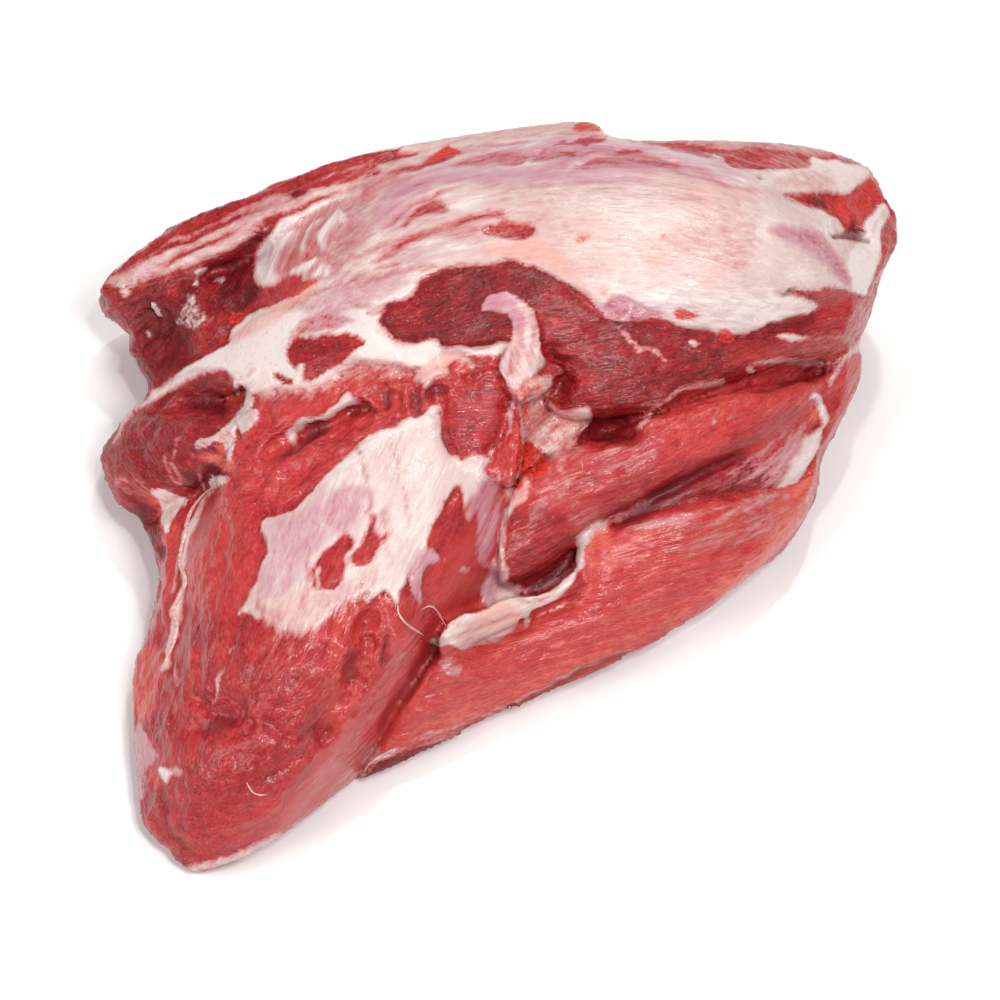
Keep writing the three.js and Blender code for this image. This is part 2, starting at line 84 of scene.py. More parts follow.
# The lie of the sheet: how high the meat is at places u,v on it, written u,v,height.
HEIGHTS = [
    0,164,104, 40,169,110, 90,162,106, 135,159,98, 166,151,86, 180,124,70, -22,135,114, 45,135,128,
    99,133,125, 135,119,110, 45,94,112, 90,90,105, 153,94,88, -179,94,50, -153,117,66, -112,135,84,
    -72,151,97, -32,161,102, -158,54,38, -135,76,64, -90,90,94, -45,108,112, -22,86,112, -45,63,103,
    90,68,92, 135,70,80, 166,76,66, -54,36,95, 0,40,94, 27,54,97, -178,20,32, -144,32,60, -166,-7,26,
    -112,22,82, -135,-27,58, -90,-22,82, -54,-27,86, -22,0,86, -153,-68,34, -112,-81,68, -76,-76,72,
    -135,-126,42, -104,-122,48, -135,-163,12, -162,-117,18, -36,-63,62, -32,-76,46, -52,-110,18,
    -76,-130,16, -112,-160,12, 45,14,80, 90,32,77, 126,45,68, 45,-14,56, 63,-9,60, 108,0,55, 137,9,44,
    135,-14,26, 108,-36,22, 63,-63,17, 18,-86,13, -18,-101,10, 45,-40,46, 9,-65,33, 90,-22,46, 158,54,48,
    151,27,34]

JOINT_OUTLINE = [
    -183,94, -166,109, -144,125, -117,136, -72,153, -27,162, 18,168, 41,169, 54,162, 108,161, 144,158,
    167,150, 174,137, 180,121, 171,97, 166,81, 161,69, 163,62, 158,45, 144,20, 142,7, 133,-16, 108,-40,
    63,-68, 27,-86, -9,-104, -47,-121, -76,-137, -107,-157, -136,-171, -155,-157, -164,-142, -166,-90,
    -164,-72, -158,-61, -153,-34, -162,-10, -173,0, -180,19, -169,38, -158,50, -167,67, -168,75, -180,85]

PLAN_OUTLINE = [
    -208,128, -190,156, -150,172, -95,188, -30,200, 50,205, 120,204, 172,192, 198,164, 201,134, 192,100,
    178,55, 156,14, 66,-78, -20,-126, -80,-164, -125,-188, -158,-182, -180,-140, -184,-60, -193,10, -201,70]

# Each form: lift, reach and drop of its rounded edge, as in the solid; the tone of its lean meat,
# from 0, nearly black, to 1, orange; the run of its grain, in degrees or as the middle of its arc;
# and its outline.
CAP_ARC = (40, -100)
FORMS = {
    "silverskin_cap": (5, 40, 20, 0.50, CAP_ARC, [-125,66, -112,68, -94,66, -78,64, -62,60, -43,55, -22,52,
        0,54, 20,55, 40,54, 63,58, 90,60, 117,64, 140,72, 158,84, 170,90, 182,94, 191,126, 182,153, 162,166,
        108,173, 45,180, -9,176, -45,169, -74,148, -97,125, -112,107, -125,90]),
    "dark_band": (2.5, 22, 14, 0.24, 8, [27,94, 45,85, 68,80, 117,81, 148,91, 166,91, 178,88, 173,74,
        165,71, 155,64, 130,61, 108,55, 90,47, 74,41, 54,37, 34,36, 22,41, 20,50, 25,61, 21,70, 17,82,
        20,91]),
    "crescent_cut": (3.5, 7, 4, 0.16, 20, [-56,80, -50,89, -38,97, -22,105, -4,108, 9,107, 25,101, 35,92,
        40,81, 45,70, 32,63, 20,70, 9,70, 0,68, -22,66, -31,70, -43,69]),
    "white_tongue": (5.5, 6, 4, 0.55, 110, [-9,87, 0,93, 11,90, 18,82, 20,68, 24,62, 30,59, 23,50, 9,44,
        1,49, -1,59, 2,71, -2,83]),
    "back_lobe": (3.5, 16, 12, 0.42, 26, [-185,94, -169,115, -153,130, -133,140, -106,151, -72,162, -32,172,
        -22,158, -45,149, -70,136, -94,120, -112,110, -128,101, -146,95, -164,88, -178,82]),
    "left_end": (0, 16, 10, 0.17, 50, [-184,94, -169,106, -150,110, -128,107, -112,110, -105,101, -103,89,
        -115,76, -123,68, -135,58, -148,51, -162,43, -173,58, -178,74]),
    "fat_band": (2, 9, 6, 0.45, CAP_ARC, [-164,43, -149,53, -136,66, -117,76, -104,86, -90,93, -70,97,
        -52,94, -53,79, -44,68, -27,66, -7,66, 1,60, -14,56, -32,54, -45,57, -58,59, -76,55, -90,51,
        -104,53, -117,50, -128,45, -140,42, -153,38]),
    "red_island": (5, 9, 6, 0.31, 12, [-98,69, -90,74, -76,75, -65,75, -59,71, -65,65, -76,60, -88,56,
        -96,61]),
    "knob": (3, 22, 20, 0.29, -12, [-184,19, -175,36, -161,48, -146,51, -128,50, -115,45, -112,34, -118,22,
        -128,11, -140,2, -149,-3, -160,-16, -176,-7]),
    "torn_shoulder": (0.5, 8, 5, 0.50, 30, [-122,26, -114,48, -104,58, -86,58, -70,62, -52,64, -27,62,
        -4,58, 7,46, 10,27, 6,8, -5,8, -22,12, -32,28, -45,28, -54,18, -70,4, -86,-10, -100,-20, -120,-22,
        -130,-10, -128,6, -126,16]),
    "front_lobe": (3, 34, 24, 0.44, 66, [-137,4, -126,12, -112,14, -94,20, -72,36, -50,46, -31,50, -17,42,
        -6,28, 6,14, 3,-9, 0,-28, -9,-45, -22,-62, -32,-76, -42,-92, -50,-107, -57,-119, -70,-137, -90,-153,
        -117,-176, -142,-180, -162,-166, -176,-144, -176,-90, -172,-68, -162,-50, -162,-27, -162,-10,
        -148,-1]),
    "middle_muscle": (3, 15, 13, 0.50, 27, [9,10, 22,20, 45,29, 72,39, 108,50, 140,55, 149,52, 143,43,
        130,33, 112,22, 94,14, 81,7, 63,-1, 45,-10, 36,-19, 20,-32, 2,-40, -1,-29, 3,-9]),
    "flap_inside": (-4, 8, 6, 0.32, 30, [44,-11, 63,-1, 81,7, 94,14, 112,22, 130,35, 143,46, 148,38, 145,27,
        138,14, 131,7, 117,4, 90,-1, 63,-8, 50,-11]),
    "front_flap": (4, 17, 16, 0.70, 13, [32,-32, 35,-19, 40,-12, 47,-9, 63,-6, 90,1, 117,5, 133,8, 140,17,
        143,29, 155,14, 151,-7, 137,-25, 112,-47, 74,-70, 38,-90, 2,-108, -20,-115, -45,-126, -62,-124,
        -54,-108, -45,-92, -34,-76, -25,-66, -9,-63, 9,-55, 20,-48, 33,-41]),
    "fat_ribbon": (4, 8, 6, 0.60, 20, [-29,-65, -24,-54, -9,-48, 4,-44, 22,-40, 34,-30, 38,-40, 20,-49,
        9,-55, -9,-63, -25,-71]),
    "right_tuck": (-1, 12, 8, 0.52, 70, [162,74, 153,68, 146,60, 143,50, 141,40, 143,30, 142,16, 151,9,
        162,27, 173,45, 176,65]),
    "back_tuck": (-5, 8, 8, 0.52, 75, [173,135, 171,128, 169,112, 166,104, 166,94, 166,85, 176,86, 187,108,
        189,124, 182,135]),
    "under_sliver": (-2, 6, 6, 0.16, 25, [-62,-126, -56,-117, -45,-112, -25,-100, -9,-95, 0,-96, 27,-86,
        63,-68, 68,-74, 27,-94, 0,-107, -20,-113, -45,-126]),
}
CORE_TONE, CORE_GRAIN = 0.14, 40

# Tears and hollows: depth, width and path. A depth below zero is a fold that stands up.
TEARS = {
    "knob_hollow": (9, 7, [-143,44, -133,46, -124,44]),
    "shoulder_tear": (7, 5, [-103,22, -90,31, -74,34, -65,39, -52,49]),
    "lobe_crevice": (5, 5, [-58,-55, -61,-72, -70,-90, -81,-106]),
    "lobe_hollow": (4, 6, [-136,-104, -130,-98, -124,-96, -118,-90]),
    "lobe_seam": (5, 5, [-135,0, -141,-14, -144,-32, -142,-50, -149,-65]),
    "lobe_fold": (-5, 12, [-45,-63, -52,-81, -68,-97, -81,-108, -88,-122, -99,-142]),
    "cap_notch": (7, 5, [153,124, 162,117]),
    "cap_tear": (5, 7, [130,136, 148,135, 167,132]),
    "band_hole": (9, 5, [45,31, 58,31]),
    "left_groove": (7, 6, [-128,102, -118,105, -110,114]),
    "left_pit": (6, 9, [-158,80, -148,72]),
    "left_pit_right": (5, 8, [-122,96, -114,90]),
}

# Narrow creases and steps that only this finer skin shows: depth, width and path, as above.
CREASES = {
    "crescent_rim": (1.6, 1.8, [-54,76, -53,86, -44,92, -34,99, -20,104.5, -4,108, 9,106, 24,100.5, 34,93.5,
        43,86, 50,81]),
    "crescent_foot": (2.5, 2, [-52,75, -44,71, -33,72, -24,67, -9,67, 2,70]),
    "band_rim": (1.4, 1.8, [64,79, 78,77, 98,76, 108,75, 122,77, 138,82, 145,87]),
    "shoulder_rim": (1.8, 3, [-112,46, -100,48, -84,49, -74,53, -66,60, -50,60, -38,57]),
    "shoulder_split": (1.6, 2.5, [-66,38, -58,43, -50,45, -46,50]),
    "shoulder_pit": (1.6, 2.5, [-40,40, -39,49]),
    "fascia_rim": (1.5, 2, [-108,-12, -96,-4, -84,5, -72,16, -60,27, -46,34, -30,42]),
    "wavy_rim": (3, 3, [-28,50, -27,40, -25,28, -21,20]),
    "wavy_side": (2, 2.5, [4,48, 3,36, 0,28, -6,20]),
    "tongue_pit": (5, 5, [22,60, 28,54, 26,46]),
    "lobe_crevice": (2.6, 2.4, [-57,-48, -62,-58, -60,-66, -68,-78, -70,-88, -78,-94, -80,-104, -88,-112,
        -96,-118, -104,-124]),
    "lobe_branch": (2, 2, [-68,-78, -60,-84, -56,-92, -60,-98]),
    "lobe_gouge": (2.5, 2.6, [-136,-90, -130,-95, -124,-97, -118,-96, -112,-100]),
    "lobe_pinch": (2, 2.2, [-104,-100, -98,-106, -90,-107, -83,-104]),
    "shoulder_gash": (2.4, 2.2, [-104,20, -96,26, -88,31, -78,32, -70,38, -62,42]),
    "shoulder_gash_low": (1.8, 2, [-100,8, -92,14, -84,17, -76,24, -68,26]),
    "band_fill": (-5, 5, [60,35, 68,38, 76,42]),
    "strap_fill": (-4, 4, [10,44, 10,32, 8,20, 6,8, 3,-6, 1,-20, -1,-30]),
    "tear_end_fill": (-4, 4.5, [-58,44, -50,50]),
    "tear_tongue": (-2, 1.6, [-66,37, -61,44]),
    "side_gash": (1.6, 1.8, [-128,8, -126,-4, -122,-16, -124,-28]),
}

# ---- paint on the sheet: value, how many millimetres it fades over at its edge, outline -----------

# How thick the silverskin lies over the lean: 0 bare lean, 0.3 pink, 0.5 lilac, 0.8 pale, 1 white.
# Zones named sheen or gleam, the knob's rim and the front lobe's side face are painted highlights: pale
# where the wet surface catches the light.
VEIL = {
    "cap_back": (0.76, 5, [-62,144, -50,151, -46,160, -46,172, 0,180, 60,180, 110,174, 112,158, 92,160,
        70,162, 50,163, 20,163, 0,160, -20,156, -40,150]),
    "cap_back_right": (0.60, 4, [50,162, 70,161, 92,160, 110,158, 130,157, 150,155, 162,151, 169,146,
        176,150, 160,166, 120,174, 50,174]),
    "lobe_stripes": (0.74, 5, [-177,98, -166,104, -158,110, -146,115, -134,122, -118,131, -100,138, -84,143,
        -66,149, -50,152, -54,143, -74,137, -90,131, -102,126, -110,119, -118,113, -128,109, -140,106,
        -152,102, -166,96]),
    "cap": (0.83, 1.6, [-112,98, -109,112, -104,121, -96,128, -84,134, -66,140, -48,146, -30,150, -14,157,
        10,160.5, 32,163, 46,164, 60,161.5, 80,158.5, 98,156, 104,149, 114,148.5, 126,148.5, 137,149,
        139,155, 146,153.5, 158,151, 166,148.5, 165,144, 160,141, 156,138.3, 148,139, 140,138, 128,137.5,
        126.5,135, 131,132.5, 142,131, 150,126.5, 156,121.5, 149,119, 157,118, 166.5,117, 165,121, 163,124,
        168,129, 173,133, 174,126, 171,118, 170,108, 167,97, 165,92, 160,93.5, 154,95.5, 148,96, 146,97,
        141,95, 130,94, 128,91, 138,90.8, 144,88.5, 141,86, 135,83, 127,80.5, 119,79, 116,77, 110,76,
        104,75.3, 98,76.5, 90,77.2, 82,78.5, 77,80.5, 70,82, 62,81.5, 55,80, 49,82, 44,88, 38,93, 32,96,
        26,100, 18,103.5, 10,106.5, 2,108.3, -8,107.6, -18,105.5, -28,103, -35,100.5, -38,98, -39,93,
        -46,90, -56,90, -70,96, -80,101, -92,97, -104,96]),
    "sweep": (1.12, 1.5, [-38,99, -60,105, -78,102.5, -86,97, -93,91, -100,86, -108,81.5, -116,76,
        -124,70.5, -132,65, -141,59.5, -148,54, -157,48, -153,46, -146,51, -136,55.5, -128,58.5, -122,58,
        -116,52, -111,48.5, -104,48, -92,49.5, -82,51, -75,54, -69,58.5, -64,61.5, -58,61.5, -51,59.8,
        -44,59, -38,60, -32,63, -25,66, -18,66.5, -10,65, -1,66, 4,71, -2,70.3, -9,68, -18,69, -26,67.5,
        -29,72, -33,72, -38,69.8, -44,71, -50,74, -53.5,77, -54.5,82, -51,88, -44,91, -39,94]),
    "left_fan": (0.48, 4, [-110,98, -107,112, -100,122, -90,130, -70,138, -46,146, -34,141, -44,131,
        -58,120, -66,110, -74,100, -92,99]),
    "cap_pink_left": (0.60, 7, [-66,120, -60,132, -48,142, -32,146, -28,140, -42,132, -52,122, -60,112]),
    "cap_white_left": (0.96, 6, [-62,104, -60,116, -52,124, -44,132, -36,138, -22,141, -6,140, 0,134,
        -12,131, -23,131, -27,134.5, -35,134, -44,127, -50,119, -52,110]),
    "cap_lower_left": (0.88, 4, [-58,104, -44,110, -20,114, 0,113, 2,109, -15,107, -34,103, -48,102]),
    "sweep_pink": (0.74, 5, [-98,86, -80,98, -62,104, -40,101, -38,97, -46,92, -60,88, -80,84]),
    "strand_left": (0.98, 1.6, [-109,104, -108,112, -104.5,120, -98,126, -88,131.5, -76,135.5, -64,139,
        -62,137.5, -76,133, -88,128, -96,122, -101,115, -104,108, -104,103]),
    "strand_second": (0.92, 1.4, [-102,100, -100.5,107, -97,114, -92,121, -94.5,122, -99.5,116, -103,108,
        -104.5,101]),
    "strand_third": (0.95, 1.5, [-81.5,113, -81,119, -78,124.5, -72,130, -69,128.5, -73.5,123.5, -77.5,118,
        -78.5,112]),
    "between_strands": (0.26, 2.5, [-99,103, -96,110, -92,118, -86,125, -79,129, -80,122, -82,116, -82,110,
        -88,106, -94,104]),
    "strand_foot": (1.0, 1.8, [-109.5,103, -106,106, -102,105, -100,101, -102,97, -106,96.5, -109,99]),
    "fan_bit": (0.92, 1.5, [-95,103, -90,106.5, -84,109.5, -83,107, -88,103.5, -93,101]),
    "fan_bit_right": (0.96, 1.5, [-84,103, -80,106.5, -76.5,105, -77.5,100.5, -83,101]),
    "fan_foot": (0.12, 2, [-103,97, -96,101, -88,100, -92,95, -99,91, -106,88]),
    "sweep_top_edge": (0.93, 1.5, [-122,76, -114,82.5, -104,87.5, -93,91.5, -88,93, -96,88, -106,83,
        -115,77, -121,73]),
    "stripe_red": (0.08, 2, [-96,137.5, -90,141, -79,144, -66,148.5, -56,151.5, -58,148.5, -71,143.5,
        -80,140.5, -89,137]),
    "stripe_red_high": (0.10, 2, [-74,149, -62,154, -46,157.5, -36,156.5, -48,153.5, -62,150.5]),
    "stripe_red_low": (0.18, 2, [-74,142, -66,146, -56,149.5, -55,147, -64,143]),
    "lilac_band": (0.27, 4, [-22,150, -10,155, 6,157.5, 30,158, 58,158, 72,154, 76,151.5, 60,149, 25,149.5,
        -5,148.5]),
    "lilac_band_right": (0.28, 3, [45,155, 60,157.3, 74,152.8, 84,150, 93,147.5, 91,144, 80,146, 70,149,
        58,151, 47,152]),
    "lilac_streak": (0.56, 3, [84,149, 93,147, 103,142.5, 107,140, 100,139.5, 90,143, 80,146.5]),
    "lilac_wash": (0.70, 8, [-32,146, 0,149, 60,149, 64,143, 20,139, -22,141]),
    "cap_white_right": (0.93, 9, [92,90, 100,104, 112,126, 124,136, 146,130, 152,124, 150,119, 140,122,
        124,121, 128,112, 150,100, 160,95, 140,96, 118,92]),
    "cap_grey": (0.76, 9, [84,136, 104,134, 116,122, 112,106, 98,104, 90,116]),
    "white_ridge": (1.1, 1.8, [46,164.5, 60,161, 75,157, 90,153.8, 100,148, 111,142.5, 107,140.5, 98,145,
        88,150, 74,153.6, 60,157.8, 46,161]),
    "ridge_red": (0.22, 2.5, [58,161.3, 70,160.5, 85,158.6, 97,155.2, 94,152.6, 82,155.2, 68,158.4]),
    "slot": (0.14, 1.2, [20,160, 32,161.2, 40,162.8, 46,161.6, 44,159.8, 30,159.4]),
    "top_white": (0.96, 2.5, [94,152, 104,148.4, 118,148, 136,149.3, 140,155, 146,153.5, 158,151, 166,148.5,
        165,144, 160,141.3, 155,138.8, 148,139.3, 140,138.6, 128,138, 118,140, 106,143, 98,147]),
    "top_grey": (0.78, 4, [124,142, 136,148, 146,147, 150,142, 140,139.5]),
    "top_pink": (0.20, 2, [103,152, 106,155.5, 114,156.5, 124,155.5, 133,156.2, 139,150.5, 130,148.5,
        120,149.5, 112,149, 106,149.3]),
    "streak_long": (0.34, 2.4, [-58,107.5, -50,114, -40,118.3, -28,123, -14,128.5, 0,130.3, 3,127.5,
        -10,125.5, -22,121.5, -34,117.6, -46,112.6, -55,107.5]),
    "streak_low": (0.50, 2, [-64,97, -56,101.5, -44,104.5, -30,106.5, -30,104.3, -46,101.6, -58,97.5]),
    "streak_short": (0.45, 1.6, [-57,104.5, -50,107.5, -43,108.6, -50,105]),
    "streak_grey": (0.66, 3, [-32,119, -14,123.5, -4,124.5, -6,118, -20,117]),
    "pink_eye": (0.32, 1.8, [-45,123.5, -38,129.5, -33,133, -28,133.5, -23.5,130.5, -28,128, -36,127,
        -42,123.6]),
    "red_eye": (0.22, 2, [-7,121.5, -1,125, 3,127, 8,124.5, 14,122.8, 16,119.5, 10,117.4, 0,119, -5,118.3]),
    "patch_right": (0.52, 4, [122,121, 132,121.8, 140,121, 146,118, 152,111, 156.5,104, 158,96.5, 153,100,
        147,106, 140,111, 130,117]),
    "patch_right_core": (0.42, 2, [136,119, 142,120.6, 148,114.5, 154,107.5, 156.5,100, 152,104.5,
        146,110.5, 140,115]),
    "patch_low": (0.38, 2.4, [47,87, 50,91, 55,92, 62,89.3, 68,86.5, 74,83.4, 66,81.8, 58,80.8, 51,82.5]),
    "patch_low_line": (0.72, 1.2, [56,81.5, 58,84, 60,88.5, 61.5,88, 59.5,83.5, 58,81]),
    "membrane_low": (0.94, 4, [62,90.5, 80,97, 100,97, 125,93.6, 142,89, 139,85.3, 128,81.5, 114,77.5,
        104,76.3, 90,78.3, 80,81, 74,84]),
    "notch_pale": (0.85, 1, [152.5,119.5, 158,121, 163,120.6, 163.5,119.2, 157,118.8]),
    "end_white": (1.1, 2.5, [163.5,121, 165,126, 170,131, 174,132.5, 173,124, 171,117, 170,108, 167,97,
        164.5,93, 160,95, 158,102, 157,110, 160,116]),
    "sweep_white": (1.2, 3, [-124,70, -108,80.5, -99,82, -98,74, -99,66, -97,60, -104,52, -111,50, -118,57,
        -128,61, -136,62]),
    "sweep_white_middle": (1.2, 2.5, [-76,82, -62,85, -55,80, -50,73.5, -42,69.5, -33,71.5, -28,66, -36,61,
        -44,60, -52,60.5, -60,62.5, -64,67, -58,72, -66,77]),
    "sweep_lower_line": (0.97, 1.6, [-104,50.5, -96,52, -88,53.2, -80,55.5, -72,60.4, -66,65.5, -62,66,
        -64,61.8, -70,57.5, -77,53, -86,50.5, -96,49.3]),
    "sweep_lilac": (0.50, 2.5, [-89,79, -82,83, -76,84.5, -68,82, -64,80.3, -74,79.3, -82,78]),
    "sweep_lilac_low": (0.46, 1.6, [-95,72.5, -88,76.5, -78,78, -70,78.8, -78,76.4, -88,74]),
    "crescent_lilac": (0.56, 2, [-61,84.5, -55,87.5, -50,88.5, -53.5,84, -57,83]),
    "island": (0.0, 1.2, [-96.5,66, -95,70, -92,72.6, -85,73.2, -78,74.8, -68,75.3, -59.5,71, -66,66,
        -72,60.5, -84,55, -89,53.5, -90,57, -94.5,60]),
    "island_spur": (0.95, 1, [-92,53.5, -91.5,60, -88.7,60.3, -88,54]),
    "hook": (0.05, 1, [-101,57, -97,54.8, -93.5,54.6, -94,52.2, -99,52.8, -102,55.5]),
    "tongue": (0.82, 1.3, [-8,86.5, -4,92, 2,93, 8,91.3, 13,88, 17,82, 18.5,74, 19.5,66, 20,61, 13,55, 9,51,
        5,47.5, 2,53, -1,60, -1,64, 4,70, 5.5,76, 4,82, 0,85]),
    "tongue_lilac": (0.60, 2, [-6,87, -3,91.5, 3,92, 8,89, 8,82, 5,81, 1,85.8]),
    "tongue_groove": (0.45, 1.6, [6,88, 9,80, 8,70, 6,60, 4,54, 3.5,61, 6.3,72, 6.6,80]),
    "fascia": (0.93, 1.2, [-28,43, -34,40.5, -40,38, -46,33.5, -52,31, -58,29, -62,26, -68,20, -72,15.5,
        -78,9.5, -84,5, -89,-0.5, -94,-4, -100,-7, -106,-9.5, -108,-13, -106,-18, -105.5,-24, -107.5,-30,
        -110,-38, -114,-46, -118,-51.5, -114,-51, -110,-54, -105,-52, -99,-54, -95,-59, -90,-59.5,
        -85,-58.5, -80,-54, -77,-48, -74,-43, -68,-39, -62,-36, -57,-36, -58,-42, -59.5,-47, -56,-43.5,
        -51,-40.5, -48,-44, -46,-48, -44,-42, -41,-36, -38,-29, -34,-23, -31.5,-17, -29,-10, -26,-3, -22,4,
        -19,6.3, -17,3, -15.5,-4, -13,-1, -8,3, -6.5,9, -7,14, -4,19, -8,19.5, -14,20, -18,17.5, -19.5,20,
        -23,20.5, -26,27, -27.5,35]),
    "fascia_lilac": (0.66, 4, [-74,3, -60,5, -63,-4, -68,-14, -72,-16, -78,-10]),
    "fascia_lilac_left": (0.74, 5, [-110,-40, -104,-26, -104,-14, -94,-8, -92,-24, -98,-36, -108,-48]),
    "fascia_lilac_low": (0.70, 2.5, [-55,-8, -50,-4, -50,-12, -54,-14]),
    "fascia_pink": (0.72, 6, [-100,-10, -82,-2, -80,-14, -86,-24, -96,-20]),
    "fascia_low_pink": (0.78, 8, [-108,-40, -84,-36, -64,-36, -58,-28, -56,-40, -76,-50, -88,-62,
        -108,-54]),
    "fascia_red_line": (0.45, 1, [-64,22, -60,8, -58,-6, -57.2,-6, -58.8,8, -62.6,22]),
    "fascia_foot_pink": (0.55, 2.5, [-108,-47, -100,-50, -97,-53, -104,-53, -109,-51]),
    "fascia_edge": (0.60, 3, [-33,-22, -28,-24, -25,-29, -32,-30, -38,-42, -39,-32]),
    "window_left": (0.02, 1.0, [-84.5,-40, -84,-32, -81,-25, -79,-22, -75,-20.5, -72,-16.5, -69.5,-15.3,
        -66.5,-19, -69,-27, -71,-34, -73.5,-39.5, -79,-40]),
    "window_right": (0.02, 1.0, [-67,-28.5, -65,-23, -62,-18, -60,-13, -57.5,-6.5, -56,-7, -55.5,-15,
        -52.5,-15.5, -49,-14.5, -51.5,-19, -54.5,-22.5, -57,-27, -62,-30]),
    "window_bar": (0.7, 0.8, [-83,-39, -82.4,-31, -80.6,-30, -81.2,-39]),
    "strap_window_pale": (0.5, 3, [-16,-4, -12,2, -8,4, -9,-3, -14,-10]),
    "sliver": (0.93, 1.0, [-96.5,29, -95,32, -91,36, -86,36.5, -80,37, -77,41, -74,43.5, -72,46.5, -68,48.5,
        -65.5,45.5, -63,43, -64,41.5, -69,40.3, -74,37, -79,34.3, -86,33.5, -91,31, -94.5,26.5]),
    "shoulder_glaze": (0.40, 7, [-108,50, -90,50, -76,54, -66,61, -58,62, -40,60, -36,56, -50,55, -62,56,
        -74,50, -90,46, -106,45]),
    "shoulder_ring": (0.72, 2.4, [-39,57, -34,61, -28,65, -20,66, -13,64.5, -11.5,60, -13.5,57.5, -14.5,61,
        -20,63.4, -25,61.5, -24,58, -28,55.5, -32,51, -35,51.5, -39,54]),
    "wavy_gloss": (0.08, 3, [-26,32, -2,33, -3,24, -8,20, -22,20]),
    "wavy_edge": (0.74, 1.4, [6,48, 4,43, 3.2,36, 1.5,30, -3,24, -8,20, -6,20, -1.5,24.5, 3,30, 4.8,36,
        5.6,42]),
    "under_tongue": (0.62, 4, [6,47, 12,53, 20,58, 26,52, 21,47, 20,40, 26,36, 22,30, 14,26, 10,31, 9,38]),
    "blob": (0.90, 2, [16,28, 20,34, 27,37, 34,40, 39,41, 41,36, 40,32, 35,28, 32,22, 27,19.5, 20,21,
        16,24]),
    "blob_coral": (0.70, 3, [22,44, 28,40, 36,41, 30,36, 22,37]),
    "strap_frays": (0.66, 2, [3,2, 6,6, 8,13, 11,11, 14,5, 11,0, 5,-2]),
    "strap_sheen": (0.38, 4, [-10,2, -5,12, 0,4, -2,-14, -6,-30, -10,-26, -9,-10]),
    "strap_line": (0.93, 1.2, [5,1, 2.5,-4, 0.8,-9, -0.6,-15, -1.4,-21, -1.2,-27, 0.6,-27, 0.8,-20, 1.6,-14,
        3,-8, 5,-3]),
    "strap_foot": (0.60, 2.4, [-5,-32, -2,-26, 1,-28, 4,-34, 1,-40, -4,-48, -8,-46, -6,-38]),
    "strap_fleck": (0.6, 2, [-19,-32, -16,-30, -12,-31, -15,-34]),
    "middle_sheen": (0.24, 6, [14,6, 24,19, 38,27, 38,14, 34,4, 48,-1, 62,6, 68,2, 50,-9, 40,-13, 24,-6]),
    "middle_veins": (0.27, 4, [33,6, 36,14, 48,22, 62,29, 72,22, 70,12, 56,6, 40,3]),
    "middle_top_lip": (0.50, 2, [60,33, 70,43, 80,50, 90,53.5, 100,55, 100,51.5, 88,49.6, 78,45.5, 68,38,
        62,31]),
    "band_right_lip": (0.52, 2.5, [112,60, 122,63.5, 136,64, 146,63, 152,62, 140,60, 124,60]),
    "band_end": (0.80, 1.8, [157,66, 160,71, 165,76, 167,84, 169,84, 167,74, 163,69]),
    "band_sheen": (0.20, 5, [124,66, 136,74, 152,78, 160,76, 154,66, 138,63]),
    "flap_lip": (0.90, 1.6, [33,-32, 34,-24, 37,-16, 40.5,-11.5, 45,-9, 50,-9.2, 48,-12, 43,-14, 40,-18,
        38,-24, 37,-30]),
    "flap_lip_thin": (0.42, 1.8, [49,-9, 57,-6, 64,-1, 69,2, 62,-4.5, 54,-9.6]),
    "flap_inside": (0.08, 6, [72,0, 92,14, 112,24, 128,34, 140,42, 140,30, 132,18, 122,7, 104,2, 84,-3]),
    "flap_inside_right": (0.24, 8, [96,10, 118,24, 134,34, 138,26, 130,14, 118,7, 100,4]),
    "flap_inside_veil": (0.40, 6, [117,6, 119,14, 125,21, 132,24, 135,20, 130,12, 126,6.5, 121,5.5]),
    "lip_end": (0.95, 1.4, [138.5,44.5, 141.5,48, 144.5,46.5, 146.8,40, 147.5,36, 144.5,31, 144,24, 140,17,
        134.5,10, 131,6.6, 125,6.2, 127,10, 130.5,15.5, 132.5,21, 136,27, 140.5,30, 144,34.5, 143.6,39,
        142.4,44]),
    "flap_top_pale": (0.40, 3, [56,-12, 72,-7, 90,-5, 104,0, 118,4, 130,5, 130,0, 116,-2, 100,-6, 84,-11,
        66,-14]),
    "flap_streaks": (0.24, 8, [76,-14, 100,-4, 130,2, 132,-6, 118,-18, 96,-22, 74,-24]),
    "flap_patch": (0.38, 5, [78,-22, 88,-18, 96,-20, 86,-25]),
    "flap_gleam": (0.40, 3, [-28,-72, -22,-70, -17,-74, -20,-80, -27,-77]),
    "flap_foot": (0.30, 2.4, [-46,-111, -30,-103.5, -10,-97, 10,-88.5, 30,-79, 50,-69.5, 64,-62, 65,-64.5,
        50,-72, 30,-81.5, 10,-91, -10,-99.5, -30,-106, -44,-113]),
    "ribbon": (0.84, 1.3, [-30,-64, -25,-58.5, -23,-55, -17,-52, -10,-50, -3,-47.5, 1,-40, 5,-41, 12,-42.5,
        20,-41, 26,-37, 31,-32, 35,-31, 34,-35.5, 28,-44, 20,-49, 15,-51, 12,-56, 9.5,-53, 7,-56.5, 1,-60,
        -8,-63.5, -17,-67.5, -22,-65, -27,-66.5]),
    "ribbon_lilac": (0.46, 1.6, [3,-38, 12,-39.5, 20,-38, 28,-32, 33,-26, 31,-31, 24,-37.5, 12,-41.5,
        4,-40.5]),
    "ribbon_grey": (0.72, 3, [-20,-60, -8,-60, 4,-58, 0,-62, -12,-66, -20,-66]),
    "tail": (0.88, 1.4, [-46,-111.5, -53,-114, -58,-118, -63,-124, -70,-130, -76,-134, -76,-137.5, -66,-131,
        -59,-122, -53,-117]),
    "sliver_sheen": (0.42, 4, [-40,-112, -28,-105, -14,-101, -16,-105, -30,-110]),
